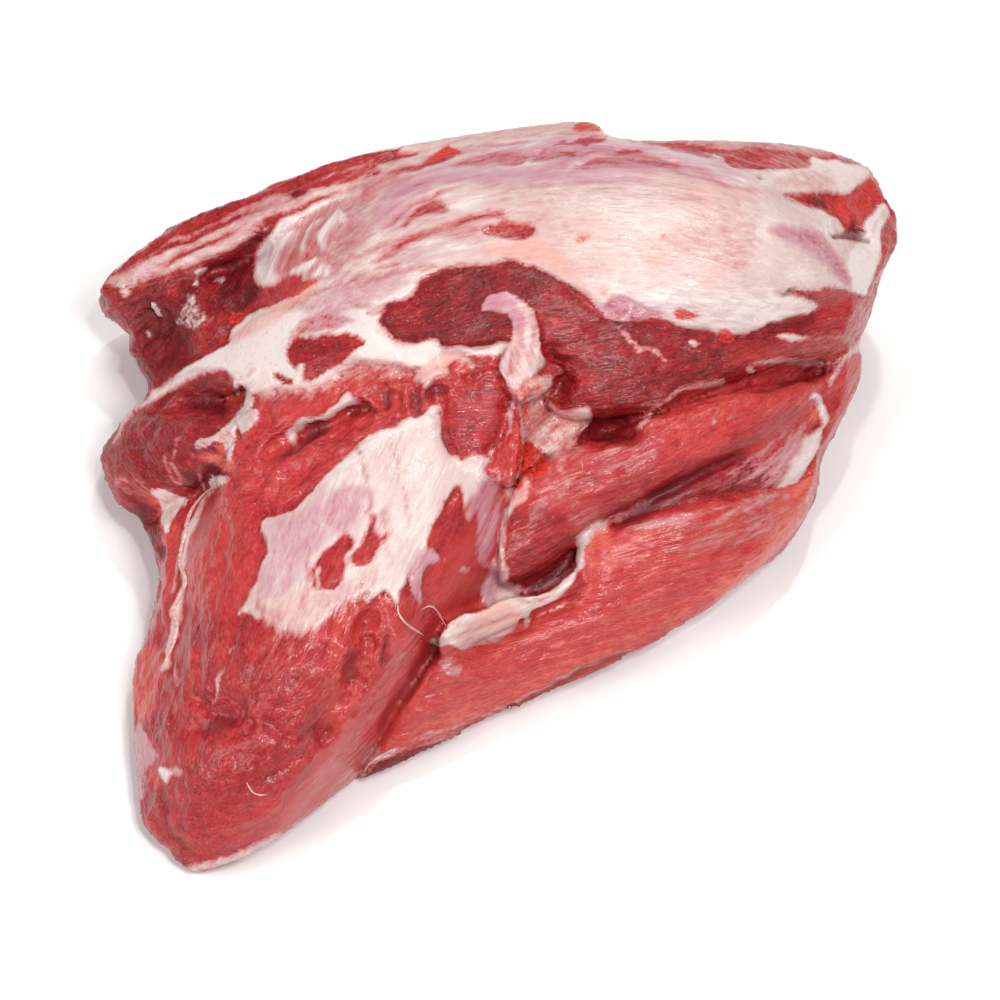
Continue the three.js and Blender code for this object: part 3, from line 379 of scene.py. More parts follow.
    # the front lobe's side face: a thin pink wet film, painted paler where it catches the light, a painted
    # sheen
    "lobe_side": (0.20, 8, [-48,-66, -54,-86, -65,-99, -76,-110, -84,-121, -92,-133, -101,-146, -112,-158,
        -96,-156, -78,-140, -62,-124, -54,-108, -44,-90, -34,-72]),
    "lobe_side_sheen": (0.42, 6, [-58,-110, -68,-122, -80,-134, -94,-148, -106,-156, -96,-158, -78,-142,
        -62,-127, -54,-116]),
    "lobe_rim": (0.80, 2, [-140,-164, -130,-161.5, -120,-159, -110,-154.5, -101,-149, -98,-150, -108,-157,
        -120,-162.5, -132,-166, -140,-167]),
    "lobe_network": (0.17, 8, [-112,-58, -98,-60, -82,-60, -80,-72, -92,-80, -108,-76]),
    "lobe_network_low": (0.13, 10, [-134,-104, -112,-108, -104,-126, -116,-140, -136,-136]),
    "seam": (0.90, 1.4, [-131,5, -136,-1, -139.5,-8, -141.5,-18, -144.5,-26, -144,-32, -142.6,-38, -145,-44,
        -148.5,-50, -147.6,-57, -148.5,-64, -151,-72, -154,-77, -149.5,-76.5, -147,-68, -144.5,-60,
        -143,-50, -141.4,-42, -140.6,-36, -142,-29, -141,-22, -138,-14, -136.6,-7, -133.5,0, -129,5.5]),
    "seam_tail": (0.50, 1.8, [-146,-72, -147.5,-80, -146,-85, -144,-78]),
    "lobe_left_lilac": (0.46, 2.4, [-164,-102, -160,-104, -157,-111, -154,-116, -160,-122, -160,-133,
        -166,-133]),
    "lobe_white": (0.99, 1.4, [-153,-121, -150,-120.5, -146,-122, -148.5,-124, -149.5,-127.5,
        -152.5,-125.5]),
    "lobe_white_right": (0.6, 1.6, [-148,-120, -144,-120.5, -142.6,-123, -147,-123.5]),
    "knob_mottle": (0.20, 6, [-180,17, -172,18, -163,14, -156,6, -160,0, -170,2, -178,8]),
    "knob_wash": (0.12, 5, [-148,28, -138,27, -132,16, -128,8, -136,11, -143,18]),
    # painted highlight: a pale sheen along the edge of the knob's top
    "knob_rim_sheen": (0.62, 2, [-176,27, -168,38, -158,47, -148,53.5, -138,57.5, -130,60, -134,57, -146,51,
        -155,46, -165,37, -174,27]),
    "band_fleck": (1.0, 1.0, [84.5,71.6, 87,72.6, 89.3,71, 86.8,69.6]),
    "band_sliver": (0.98, 0.9, [124,74, 130,74.2, 139,73, 134,72.2, 128,71.7]),
    "band_dot": (0.85, 1.2, [111,58.6, 113,59.5, 115,57.5, 112.5,56.5]),
    "band_line": (0.62, 1.4, [52,78.5, 58,74.5, 64,69.5, 70,67.2, 77,61, 69,65.6, 63,67.6, 56,73.6]),
    "back_tuck": (0.88, 2, [176,127.5, 171,125, 168.5,119, 167,122, 170,128, 173,131]),
    "right_rim": (0.66, 2, [149,50, 153,58, 157,64, 163,69, 167,76, 163,72, 156,67, 151,60, 147.5,52]),
    "left_rim": (0.5, 3, [-178,84, -172,76, -166,68, -163,60, -166,62, -172,72, -178,80]),
}

# Thin lines of silverskin: thickness, half width and path.
LINES = {
    "flap_lip_streak": (0.62, 1.4, [119,8, 128,18, 136,30, 141,40]),
    "flap_lip_streak_low": (0.5, 1.0, [108,7, 120,16, 130,26, 137,34]),
    "flap_lip_streak_high": (0.4, 1.0, [104,12, 116,20, 128,30, 138,40]),
    "blob_line": (0.15, 1.0, [12,28, 16,33, 21,37, 26,44]),
    "blob_line_low": (0.25, 0.9, [16,22, 22,27, 25,33, 33,35]),
    "blob_line_right": (0.2, 0.9, [27,20, 31,26, 37,31, 39,38]),
    "blob_line_high": (0.3, 1.0, [8,38, 13,42, 16,49, 21,54]),
    "blob_line_cross": (0.35, 0.9, [10,46, 16,44, 22,46]),
    "tongue_line": (0.45, 0.8, [8,90, 10,80, 9.5,70, 8,60, 6,52]),
    "tongue_line_right": (0.5, 0.7, [14,86, 15.5,76, 15,66, 13,58]),
    "ribbon_line": (0.45, 0.8, [-26,-63, -16,-60, -6,-56, 4,-52, 14,-50]),
    "ribbon_line_low": (0.5, 0.8, [-16,-66, -4,-62, 6,-58]),
    "ribbon_line_right": (0.4, 0.7, [4,-44, 14,-46, 22,-43, 30,-35]),
    "fascia_line": (0.62, 0.8, [-72,12, -68,2, -60,-6, -54,-16, -48,-30]),
    "fascia_line_second": (0.66, 0.8, [-50,28, -46,14, -42,0, -40,-14]),
    "fascia_line_third": (0.66, 0.8, [-96,-8, -92,-20, -94,-34, -98,-46]),
    "fascia_line_low": (0.55, 0.8, [-88,-20, -86,-32, -88,-44, -92,-54]),
    "back_streak": (0.95, 1.3, [-164,102, -156,107, -150,110, -138,119]),
    "back_streak_low": (0.85, 1.1, [-150,104, -143,108, -137,112, -128,116]),
    "back_streak_high": (0.7, 1.2, [-160,111, -147,116, -135,121, -120,127, -104,132]),
    "back_streak_long": (0.75, 1.3, [-125,125, -112,130, -100,133, -80,139, -60,143]),
    "back_streak_foot": (0.6, 1.2, [-170,97, -158,101, -146,106, -134,109, -122,116]),
    "back_streak_red": (0.02, 1.3, [-168,102, -152,112, -136,119, -118,128, -96,135]),
    "back_streak_dark": (0.0, 1.2, [-158,103, -144,110, -130,116, -116,124]),
    "back_streak_third": (0.05, 1.2, [-116,120, -100,128, -84,134, -66,140]),
    "fan_left": (1.0, 1.2, [-109,103, -107,111, -104,119, -97,126, -88,131]),
    "fan_second": (0.95, 1.0, [-104,101, -102,108, -98,116, -92,122]),
    "fan_third": (0.95, 1.0, [-82,113, -81,119, -77,125, -70,130]),
    "fan_fourth": (0.85, 1.0, [-90,108, -89,116, -84,124, -78,129]),
    "cap_fibre": (0.86, 1.0, [-16,150, 2,145, 20,143, 42,146]),
    "cap_fibre_cross": (0.84, 1.1, [-14,131, 2,143, 12,152, 18,158]),
    "cap_fibre_right": (0.80, 1.0, [20,136, 30,148, 36,158]),
    "cap_fibre_long": (0.86, 1.1, [-40,143, -20,148, 6,150, 34,153, 54,158]),
    "cap_fibre_low": (0.9, 1.0, [-50,132, -34,138, -14,141, 4,139]),
    "cap_fibre_back": (0.85, 1.0, [-30,157, -8,161, 16,162, 40,163]),
    "cap_red_line": (0.30, 1.1, [-60,117, -46,128, -34,135, -18,139]),
    "cap_red_line_low": (0.42, 1.0, [-66,108, -52,115, -36,120, -20,126]),
    "sweep_fibre": (0.55, 1.0, [-90,79, -78,84, -64,87, -56,88]),
    "sweep_fibre_low": (0.5, 0.9, [-96,75, -84,78, -70,79]),
    "sweep_red": (0.45, 0.9, [-104,84, -92,88, -78,95, -62,100, -48,102]),
    "knob_arc": (0.42, 1.0, [-140,34, -146,26, -148,17, -143,9, -135,4]),
    "knob_arc_inner": (0.36, 0.9, [-150,28, -151,18, -146,8, -138,2]),
    "knob_thread": (0.40, 0.9, [-136,14, -135,6, -132,0]),
    "strap_thread": (0.5, 0.9, [6,12, 2,4, -2,-6, -5,-18, -6,-30]),
    "strap_fork": (0.42, 0.9, [-2,18, 0,8, -3,-4, -8,-14, -14,-24]),
    "threads_left": (0.6, 0.9, [-35,-24, -38,-35, -38,-48]),
    "threads_right": (0.6, 0.9, [-33,-27, -35,-38, -37,-50]),
    "seam_side": (0.6, 1.0, [-135,-1, -140,-9, -143,-18, -146,-27, -146,-40, -149,-52]),
    "flap_thread": (0.42, 1.2, [70,-14, 84,-12, 98,-9, 112,-3, 126,0]),
    "flap_thread_low": (0.34, 1.2, [84,-20, 100,-15, 114,-8, 130,-4]),
    "flap_thread_third": (0.30, 1.2, [64,-18, 82,-24, 104,-22, 122,-14]),
    "middle_streak": (0.45, 1.0, [93,27, 96,34, 101,43]),
    "middle_streak_right": (0.40, 1.0, [99,26, 103,35, 109,42]),
    "edge_left": (0.95, 1.2, [-160,42, -150,49, -140,55, -128,60]),
    "lobe_strand": (0.75, 1.0, [-123,-73, -127,-81, -129,-88, -132,-96]),
    "lobe_thread": (0.34, 0.9, [-136,-112, -132,-122, -127,-128]),
    "lobe_curl": (0.38, 0.9, [-119,-121, -113,-120, -109,-122]),
    "lobe_thread_high": (0.36, 0.9, [-112,-68, -118,-66, -126,-70]),
    "flap_foot": (0.5, 1.0, [-50,-112, -30,-104, -10,-99, 10,-90, 30,-80, 50,-71, 60,-66]),
    "ring_edge": (0.9, 1.1, [-40,56, -34,61, -28,64, -20,65, -14,62]),
    "shoulder_pale": (0.5, 1.0, [-66,42, -60,47, -54,50, -46,52]),
}

# Colour of the pale parts: 1 peach, -1 lilac.
WARMTH = {
    "cap_top": (-0.9, 8, [-60,120, -50,140, -20,158, 20,162, 60,162, 96,152, 108,140, 84,142, 40,140, 0,142,
        -30,140, -44,124]),
    "fan": (-0.4, 6, [-108,98, -104,120, -84,134, -60,142, -60,120, -76,100]),
    "sweep": (-0.5, 8, [-92,78, -80,98, -50,104, -40,98, -56,86, -70,78]),
    "cap_left_low": (-0.35, 8, [-50,104, -30,116, 0,118, 0,110, -30,104]),
    "cap_middle": (0.15, 12, [-4,128, 20,132, 60,130, 96,138, 104,132, 80,122, 72,104, 50,96, 36,98, 16,106,
        0,112]),
    "crescent_coral": (0.95, 4, [-10,112, 6,117, 20,116, 30,108, 36,98, 44,90, 40,92, 30,100, 20,105,
        6,109]),
    "coral_spot": (1.0, 2.5, [33,117, 37,120.5, 41,119, 38,116]),
    "coral_spot_right": (1.0, 2, [71,118, 73,120, 75.5,118, 73,116.3]),
    "coral_patch": (0.8, 5, [64,111, 74,111, 78,105, 66,103]),
    "coral_patch_right": (0.7, 4, [90,104, 97,105, 97,99, 90,97]),
    "coral_low": (1.0, 2.4, [44,96, 48.5,96, 49,91.5, 45.5,91]),
    "coral_high": (0.4, 7, [60,146, 84,144, 108,138, 104,132, 84,136]),
    "patch_right": (-0.9, 5, [120,122, 140,122, 156,106, 158,96, 140,108]),
    "lilac_low": (-0.8, 6, [46,84, 52,93, 78,90, 112,86, 70,81]),
    "end": (0.15, 6, [150,150, 166,150, 160,140, 146,142]),
    "sweep_coral": (0.35, 2.5, [-118,60, -108,62, -103,56, -106,50, -114,48, -120,54]),
    "sweep_edge": (0.8, 3, [-123,72, -110,82, -98,88, -84,99, -80,97, -94,85, -108,76]),
    "crescent_edge": (0.7, 2, [-56,78, -52,80, -46,73, -40,70.5, -42,68, -52,71]),
    "ring": (0.6, 3, [-40,54, -38,60, -28,66, -12,66, -10,60, -26,54]),
    "glaze": (0.4, 5, [-100,50, -74,54, -62,62, -40,60, -44,54, -70,50]),
    "tongue_low": (0.2, 4, [8,64, 20,64, 16,54, 6,48]),
    "tongue_high": (-0.9, 3, [-8,86, -2,94, 8,90, 10,76, 5,76, 2,84]),
    "under_tongue": (0.4, 3, [6,46, 12,54, 22,58, 28,48, 24,30, 12,24]),
    "blob": (0.35, 4, [16,26, 24,36, 40,42, 42,32, 32,20, 20,20]),
    "frays": (0.7, 3, [3,0, 7,14, 14,8, 10,-2]),
    "fascia_low": (0.1, 5, [-104,-44, -84,-42, -64,-38, -56,-30, -60,-40, -76,-50, -88,-60, -100,-56]),
    "fascia_lilac": (-0.8, 6, [-108,-44, -106,-12, -94,-8, -78,4, -58,6, -64,-10, -84,-24, -92,-40]),
    "fascia_edge": (-0.7, 4, [-36,-20, -26,-24, -38,-46, -44,-40]),
    "strap": (-0.8, 4, [-12,4, -6,16, 0,0, -2,-30, 2,-38, -8,-50, -12,-30]),
    "flap_inside": (-0.5, 8, [60,-8, 90,14, 128,36, 136,22, 124,6, 90,-2]),
    "lip_orange": (1.0, 2.4, [139,35, 140.5,42, 143,43, 143.6,36]),
    "flap_lip": (0.9, 3, [40,-20, 44,-12, 50,-11, 52,-16, 46,-22]),
    "ribbon_middle": (0.7, 3, [-12,-52, 0,-46, 8,-50, 8,-56, -4,-58]),
    "ribbon_lilac": (-0.9, 2, [2,-37, 20,-36, 34,-25, 24,-38, 8,-43]),
    "lobe_side": (-0.15, 8, [-50,-80, -80,-116, -112,-158, -56,-116]),
    "lobe_left": (-0.9, 4, [-168,-100, -156,-104, -154,-118, -160,-134, -168,-134]),
    "knob": (-0.6, 5, [-150,30, -134,28, -126,6, -140,10]),
    "seam": (0.2, 3, [-130,8, -140,-16, -146,-50, -152,-78, -148,-78, -136,-20]),
}

# Changes to the lean meat's own tone. A few, in a groove, a pit and a tear, are painted shade.
TONES = {
    "crescent": (0.17, 2, FORMS["crescent_cut"][-1]),
    "band": (0.24, 3, FORMS["dark_band"][-1]),
    "band_end": (0.46, 8, [146,94, 166,94, 170,78, 158,66, 140,68, 142,80]),
    "band_low": (0.42, 6, [100,60, 112,66, 150,72, 158,68, 146,62, 118,56]),
    "band_left": (0.30, 8, [18,92, 30,96, 44,80, 40,40, 24,42, 20,60]),
    "crescent_left": (0.24, 5, [-54,80, -44,90, -34,98, -26,94, -38,80, -46,74]),
    "cap_end": (0.66, 3, [126,135, 134,138, 156,138, 168,148, 180,140, 178,128, 164,124, 152,126, 142,131]),
    # painted shade in the tear across the cap's end
    "cap_end_dark": (0.22, 2, [136,136, 146,137, 150,133, 144,131.5, 138,132]),
    "top_edge": (0.50, 4, [-166,104, -150,122, -110,140, -70,154, -40,164, -60,170, -120,150, -180,116]),
    "stripe_dark": (0.10, 2, [-96,137, -92,140.5, -87,139, -90,137]),
    # painted shade in the groove at the back of the left end
    "groove": (0.06, 3, [-131,100, -124,105, -117,111, -111,118, -104,123, -96,129, -98,126, -108,117,
        -113,108, -121,101]),
    "left_red": (0.30, 5, [-146,103, -130,108, -118,112, -122,104, -136,98]),
    "left_bright": (0.44, 3, [-151,92, -147,98, -143,95, -146,90]),
    # painted shade in the pit at the left end
    "left_dark": (0.03, 5, [-128,98, -116,99, -110,92, -116,87, -126,88]),
    "left_low": (0.36, 6, [-136,84, -122,84, -112,86, -118,78, -130,66, -142,60, -138,74]),
    "left_side": (0.34, 6, [-180,92, -170,96, -168,84, -164,74, -172,76]),
    "knob_top": (0.26, 6, [-160,46, -130,57, -122,54, -124,48, -140,48, -156,36, -170,26, -172,34]),
    "knob_right": (0.62, 3, [-124,50, -118,56, -112,52, -116,44, -122,40]),
    "knob_orange": (0.95, 2, [-138,21.5, -130,20, -124,19.5, -120.5,15, -126,14.5, -134,18]),
    "knob_orange_top": (0.90, 2, [-127,26, -123,26, -122,20, -126,21]),
    "knob_foot": (0.10, 3, [-134,16, -124,13, -128,6, -136,2, -144,6, -142,12]),
    "side_red": (0.80, 3, [-158,2, -154,2, -152,-14, -151,-20, -154,-12]),
    "side_strip": (0.66, 5, [-150,-12, -143,-10, -145,-30, -144,-40, -150,-48, -152,-30]),
    "side_low": (0.72, 4, [-165,-70, -152,-66, -154,-80, -158,-98, -166,-96]),
    "side_dark": (0.12, 3, [-166,-3, -157,-3, -154,-14, -155,-24, -160,-14]),
    "shoulder": (0.62, 8, [-112,44, -80,48, -60,60, -40,58, -52,40, -74,22, -96,4, -116,2, -118,24]),
    "shoulder_low": (0.56, 5, [-98,20, -76,30, -56,38, -60,28, -80,8, -96,4]),
    "ring": (0.80, 2, [-23,61, -18,63, -14,62, -13,58.5, -18,58.5]),
    "wavy": (0.42, 4, [-27,46, -10,54, 2,48, 2,36, -26,36]),
    "wavy_low": (0.40, 4, [-26,34, 2,34, -3,24, -10,19, -24,20]),
    "strap": (0.60, 4, [-6,18, 8,24, 8,8, 2,-10, -2,-32, -8,-50, -28,-54, -30,-30, -14,-14]),
    "strap_red": (0.74, 2, [6,46, 9,46, 11,36, 9,26, 7,20, 6,32]),
    "middle_left": (0.58, 6, [8,8, 26,20, 44,28, 38,10, 46,-2, 36,-14, 16,-24, 2,-30, 2,-6]),
    "middle_low": (0.38, 6, [2,-6, 20,-2, 34,-14, 20,-30, 4,-38, 0,-26]),
    "middle_right": (0.68, 8, [70,20, 70,38, 100,52, 146,56, 144,46, 118,36, 96,22]),
    "middle_edge": (0.42, 5, [56,6, 80,14, 104,26, 124,38, 112,24, 84,9, 62,-1, 46,-9, 48,-2]),
    "flap_inside": (0.22, 5, [46,-10, 80,8, 112,24, 140,42, 144,28, 130,10, 90,0, 56,-10]),
    "flap_inside_right": (0.66, 5, [110,24, 130,36, 140,42, 140,30, 130,24, 118,18]),
    "lip_orange": (0.95, 2, [138.5,35, 140.5,42.5, 143,43, 143.6,36]),
    "flap_right": (0.95, 8, [124,0, 140,14, 150,10, 146,-12, 126,-30, 104,-46, 96,-40, 116,-24]),
    "flap_lip": (0.95, 3, [40,-14, 46,-11, 50,-13, 50,-19, 42,-22, 40,-30, 50,-30, 54,-28, 36,-26]),
    "flap_edge": (0.82, 5, [-46,-112, -10,-98, 30,-80, 66,-62, 90,-50, 86,-46, 60,-58, 30,-72, -10,-90,
        -40,-104]),
    "lobe_tail": (0.54, 8, [-148,-150, -120,-158, -98,-138, -90,-116, -104,-128, -124,-146]),
    "lobe_upper": (0.60, 8, [-136,2, -110,-6, -108,-30, -116,-52, -138,-56, -142,-30, -138,-10]),
    "lobe_upper_low": (0.44, 8, [-142,-50, -118,-54, -118,-74, -142,-84, -146,-64]),
    "lobe_crags": (0.66, 6, [-76,-44, -50,-44, -44,-62, -50,-90, -72,-104, -80,-90, -76,-66]),
    "lobe_side": (0.64, 6, [-44,-64, -54,-88, -66,-100, -78,-112, -90,-130, -104,-152, -80,-140, -56,-116,
        -34,-72]),
    "sliver": (0.14, 3, [-64,-128, -56,-116, -40,-111, -14,-101, 10,-94, -20,-114]),
    "sliver_red": (0.72, 2, [-14,-101, -6,-98, 4,-94.5, 18,-88, 22,-88, 8,-96, -4,-102, -10,-106]),
    "right_tuck": (0.60, 5, [146,16, 150,50, 164,70, 172,60, 158,20]),
    "back_tuck": (0.58, 4, [172,140, 168,118, 164,96, 166,80, 190,110]),
}

FAT = {
    "knob_side": (0.75, 2.5, [-138,24, -134,27.5, -129,30, -125,34, -120,38.5, -116,44, -113.5,50,
        -110.5,48, -112,42, -115,36, -119,31, -120,24, -122,18, -124.5,18, -124,24, -128,26.5, -131,23,
        -135,22]),
    "knob_side_right": (0.9, 2, [-117,34, -113,41, -109.5,41, -108.5,37, -112,32, -116,29]),
    "knob_foot": (0.8, 2.5, [-157,4, -152,5, -146,3, -141,0, -144,-5, -148,-9, -149.5,-14, -152,-15,
        -153.5,-8, -154,-1]),
    "knob_seam": (0.8, 2, [-131,9, -126,12, -122,10, -125,6, -130,5]),
    "end_bar": (1, 1.0, [-156.5,88, -155,89.5, -153,84, -154.5,82.5]),
    "end_lump": (0.52, 4, [-144,84, -141.5,88, -139.5,93, -136.5,92, -136.5,87, -132,84, -134,77.5,
        -138,76.5, -142,79]),
    "end_dots": (0.7, 2, [-138,103, -134,105, -131,103.5, -134,101.5]),
    "end_dot_low": (0.6, 1.6, [-137,101, -134,101, -135,96, -137.5,97]),
    "end_wedge": (0.6, 2.5, [-130,98, -126,100.5, -123,99.5, -125,97.5]),
    "end_cluster": (0.62, 3, [-171,98, -168,99.5, -166,95, -165,92, -169,91, -171,94]),
    "end_cluster_right": (0.5, 3, [-165,104.5, -162,104, -162,98, -164,98]),
    "end_speck": (0.7, 1.2, [-160,76, -158,76.5, -158,73, -160,73]),
    "end_speck_low": (0.5, 1.8, [-146,82.5, -143,82, -143,80, -146,80.5]),
    "ring_left": (0.6, 3, [-121,50, -119,55, -114,57, -111,60, -108,58, -112,54, -116,52, -118,47]),
    "ridge_dot": (0.7, 1.4, [-75,128, -70,129, -67,126, -70,124.5, -73,126]),
    "tongue_foot": (0.5, 4, [2,54, 5,48.5, 9,51.5, 14,56, 19,61, 17,66, 10,64, 5,60]),
}

# Fresh bright blood on top of the lean.
BLOOD = {
    "clot": (1, 2, [9,18, 11,24, 14,23, 18,20, 22,17, 21,13, 16,10.5, 10,11.5]),
    "clot_high": (0.8, 2, [9.5,24, 12,28, 15,27, 19,22, 15,20]),
    "clot_seam": (0.75, 2, [6,46, 10,47, 13,36, 13,20, 11,8, 7,3, 5,8, 7,24, 7,36]),
    "cap_spot": (0.5, 1.6, [34,117, 36,119.5, 39,118.5, 37,116]),
    "cap_spot_right": (0.5, 1.4, [71.5,118.5, 73,120, 75,118.5, 73,117]),
    "cap_spot_low": (0.35, 1.6, [45,95, 48,95, 48,92, 46,91.5]),
    "under_tongue": (0.34, 4, [4,50, 14,54, 24,50, 30,42, 38,38, 30,24, 20,22, 8,30]),
    "shoulder": (0.18, 8, [-104,44, -80,46, -60,56, -36,50, -60,40, -84,28, -104,20]),
    "clot_string": (0.6, 2, [9,48, 13,50, 13,40, 11,30, 9,34]),
    "skyline_tuft": (0.75, 1.6, [33,165.8, 37,170, 42,170, 50,163.6, 42,164.2, 36,164.4]),
    "ridge_patch": (0.9, 1.6, [-34,152, -29,155, -25,159, -20,158, -18,155.6, -24,154, -30,152]),
    "fan_sliver": (0.85, 1.6, [-96,91.5, -90,96, -84,100, -80,100.5, -85,95.5, -90,91.8]),
    "end_patch": (0.6, 2, [-124,84, -116,85.5, -113.5,82, -120,80]),
    "island_end": (0.4, 4, [-68,74, -62,73.5, -59.5,71, -64,68, -68,70]),
    "cap_end": (0.45, 5, [152,130, 158,140, 168,146, 173,140, 168,130, 160,127]),
    "cap_speck": (0.8, 1.4, [77.5,82.5, 79,86.5, 84,85.3, 90.5,82.3, 84,81.4]),
    "edge_speck": (0.8, 1.4, [98.5,77.5, 102,78.4, 106,74, 104,71, 99,71]),
    "slot_end": (0.3, 2, [41,162, 44,164, 46,161]),
    "lobe_left": (0.8, 1.4, [-158,-125, -154,-124.6, -153.5,-128, -157,-129]),
    "sliver": (0.6, 2, [-13,-101, -6,-98, -4,-102, -10,-106]),
    "ribbon_edge": (0.5, 1.6, [14,-53, 22,-50, 30,-46, 28,-48, 20,-52.5]),
    "tuck": (0.4, 3, [160,92, 165,92, 165,80, 161,80]),
    "side": (0.6, 2, [-158,1, -155,1, -155,-3, -158,-2]),
    "shoulder_low": (0.3, 4, [-112,-2, -104,-2, -106,-12, -112,-14]),
}

# Painted shade: holes, slots and deep creases, darkened towards near black where the light would not reach
# into them.
PAINTED_SHADE = {
    "shoulder_tear": (0.9, 2, [-102,19.5, -94,26.5, -86,33, -77,33.6, -80,31, -88,28, -95,22.5]),
    "shoulder_tear_right": (0.7, 2, [-70,39.5, -62,42.5, -56,43, -57,40, -64,38.5]),
    "shoulder_hole": (0.8, 2.4, [-54,44, -53,49.5, -50,50, -50,45, -51,43]),
    "shoulder_pit": (0.85, 2.4, [-39.5,38.5, -40,46, -38.5,50, -37,49, -36.5,41]),
    "shoulder_slot": (0.7, 1.6, [-36,47, -32,52, -24,51.5, -28,48.5]),
    "knob_hollow": (0.75, 4, [-141,46, -133,48, -125,47, -123,43, -128,39.5, -138,41.5]),
    "left_pit": (0.45, 8, [-160,82, -152,86, -144,76, -140,68, -150,60, -162,68]),
    "left_pit_high": (0.5, 3, [-164,82, -158,82, -158,76, -163,76]),
    "left_shadow": (0.45, 3, [-128,103, -121,107, -117,110, -120,103]),
    "lobe_pit": (0.6, 4, [-137,-104, -131,-97, -122,-96, -120,-100, -128,-103]),
    "lobe_spot": (0.5, 2, [-119,-103, -115,-104, -116,-107, -119,-106]),
    "lobe_spot_low": (0.5, 2, [-103,-113, -99,-114, -100,-117, -103,-116]),
    "lobe_crack": (0.6, 3, [-52,-56, -49,-60, -48,-72, -52,-76, -52,-64]),
    "lobe_crack_left": (0.55, 3, [-66,-68, -62,-70, -66,-82, -70,-82]),
    "lobe_crack_low": (0.6, 2, [-90,-107.5, -83,-104, -81,-101, -86,-103.5]),
    "lobe_foot": (0.5, 3, [-149,-150, -143,-152, -140,-158, -145,-155]),
    "lobe_side_line": (0.4, 2.4, [-154,-130, -151,-130, -149,-146, -152,-146]),
    "side_pit": (0.9, 1.4, [-153,-20, -150,-22, -151,-27, -153.5,-25]),
    "notch": (0.8, 1.2, [148.5,119.3, 157,121.5, 158.5,126.8, 160.5,126.5, 162.5,121.5, 166.8,117,
        157,117.6]),
    "cap_speck": (0.8, 0.9, [115.5,144.5, 117,146, 118.3,144.5, 117,143.6]),
    "cap_speck_right": (0.35, 0.9, [146.5,148, 148,149.3, 148.6,148]),
    "sliver_hole": (0.95, 1.4, [3,-93.5, 5,-91.4, 8,-92.4, 5.5,-94.5]),
    "band_hole": (0.8, 3, [43,27.5, 50,31.8, 59,31.2, 58,28.5, 48,27]),
    "tuck_hole": (0.8, 2.4, [114,50, 128,54, 142,57, 152,62.5, 150,59, 144,55, 130,52, 118,49]),
    "middle_slot": (0.4, 2, [68,37, 74,42.5, 82,46.5, 90,48.5, 84,44.5, 76,39.5]),
    "flap_crease": (0.75, 5, [52,-11, 64,-1, 74,7, 88,13, 100,18, 106,20, 98,14, 84,7, 72,-2, 62,-9]),
    "flap_crease_right": (0.3, 5, [104,20, 118,30, 130,38, 124,32, 112,23]),
    "lobe_crease": (0.5, 5, [-24,-64, -29,-70, -38,-82, -46,-94, -53,-105, -55,-103, -46,-88, -38,-74,
        -30,-63]),
    "edge_cut": (0.7, 1.2, [123,94, 127,93.5, 129.5,94.2, 133,95.5, 131,92, 128,91.2]),
    "under_middle": (0.5, 4, [6,-37, 16,-36, 28,-30, 36,-20, 33,-24, 24,-32]),
    "hook": (0.3, 1.2, [-100,56, -95,54, -99,53.5]),
    "flap_foot": (0.6, 1.6, [12,-92, 30,-83.5, 50,-73.5, 60,-69, 60,-67, 44,-73, 24,-83, 10,-90]),
}

# Smooth parts under a clear wet film, with no grain to see.
FILM = {
    "lobe_side": (1, 8, [-46,-60, -52,-84, -64,-97, -78,-108, -88,-122, -98,-140, -112,-158, -100,-162,
        -76,-142, -54,-116, -42,-92, -24,-66, -36,-52]),
    "middle_low": (1, 6, [8,6, 24,18, 42,26, 36,12, 34,4, 46,0, 64,4, 80,12, 62,-3, 44,-12, 30,-14, 12,-6]),
    "strap": (0.9, 4, [-6,12, 4,16, 4,-2, -2,-30, -8,-48, -26,-54, -26,-34, -14,-8]),
    "crease": (0.8, 5, [52,-11, 74,7, 104,20, 128,36, 118,22, 90,2]),
}

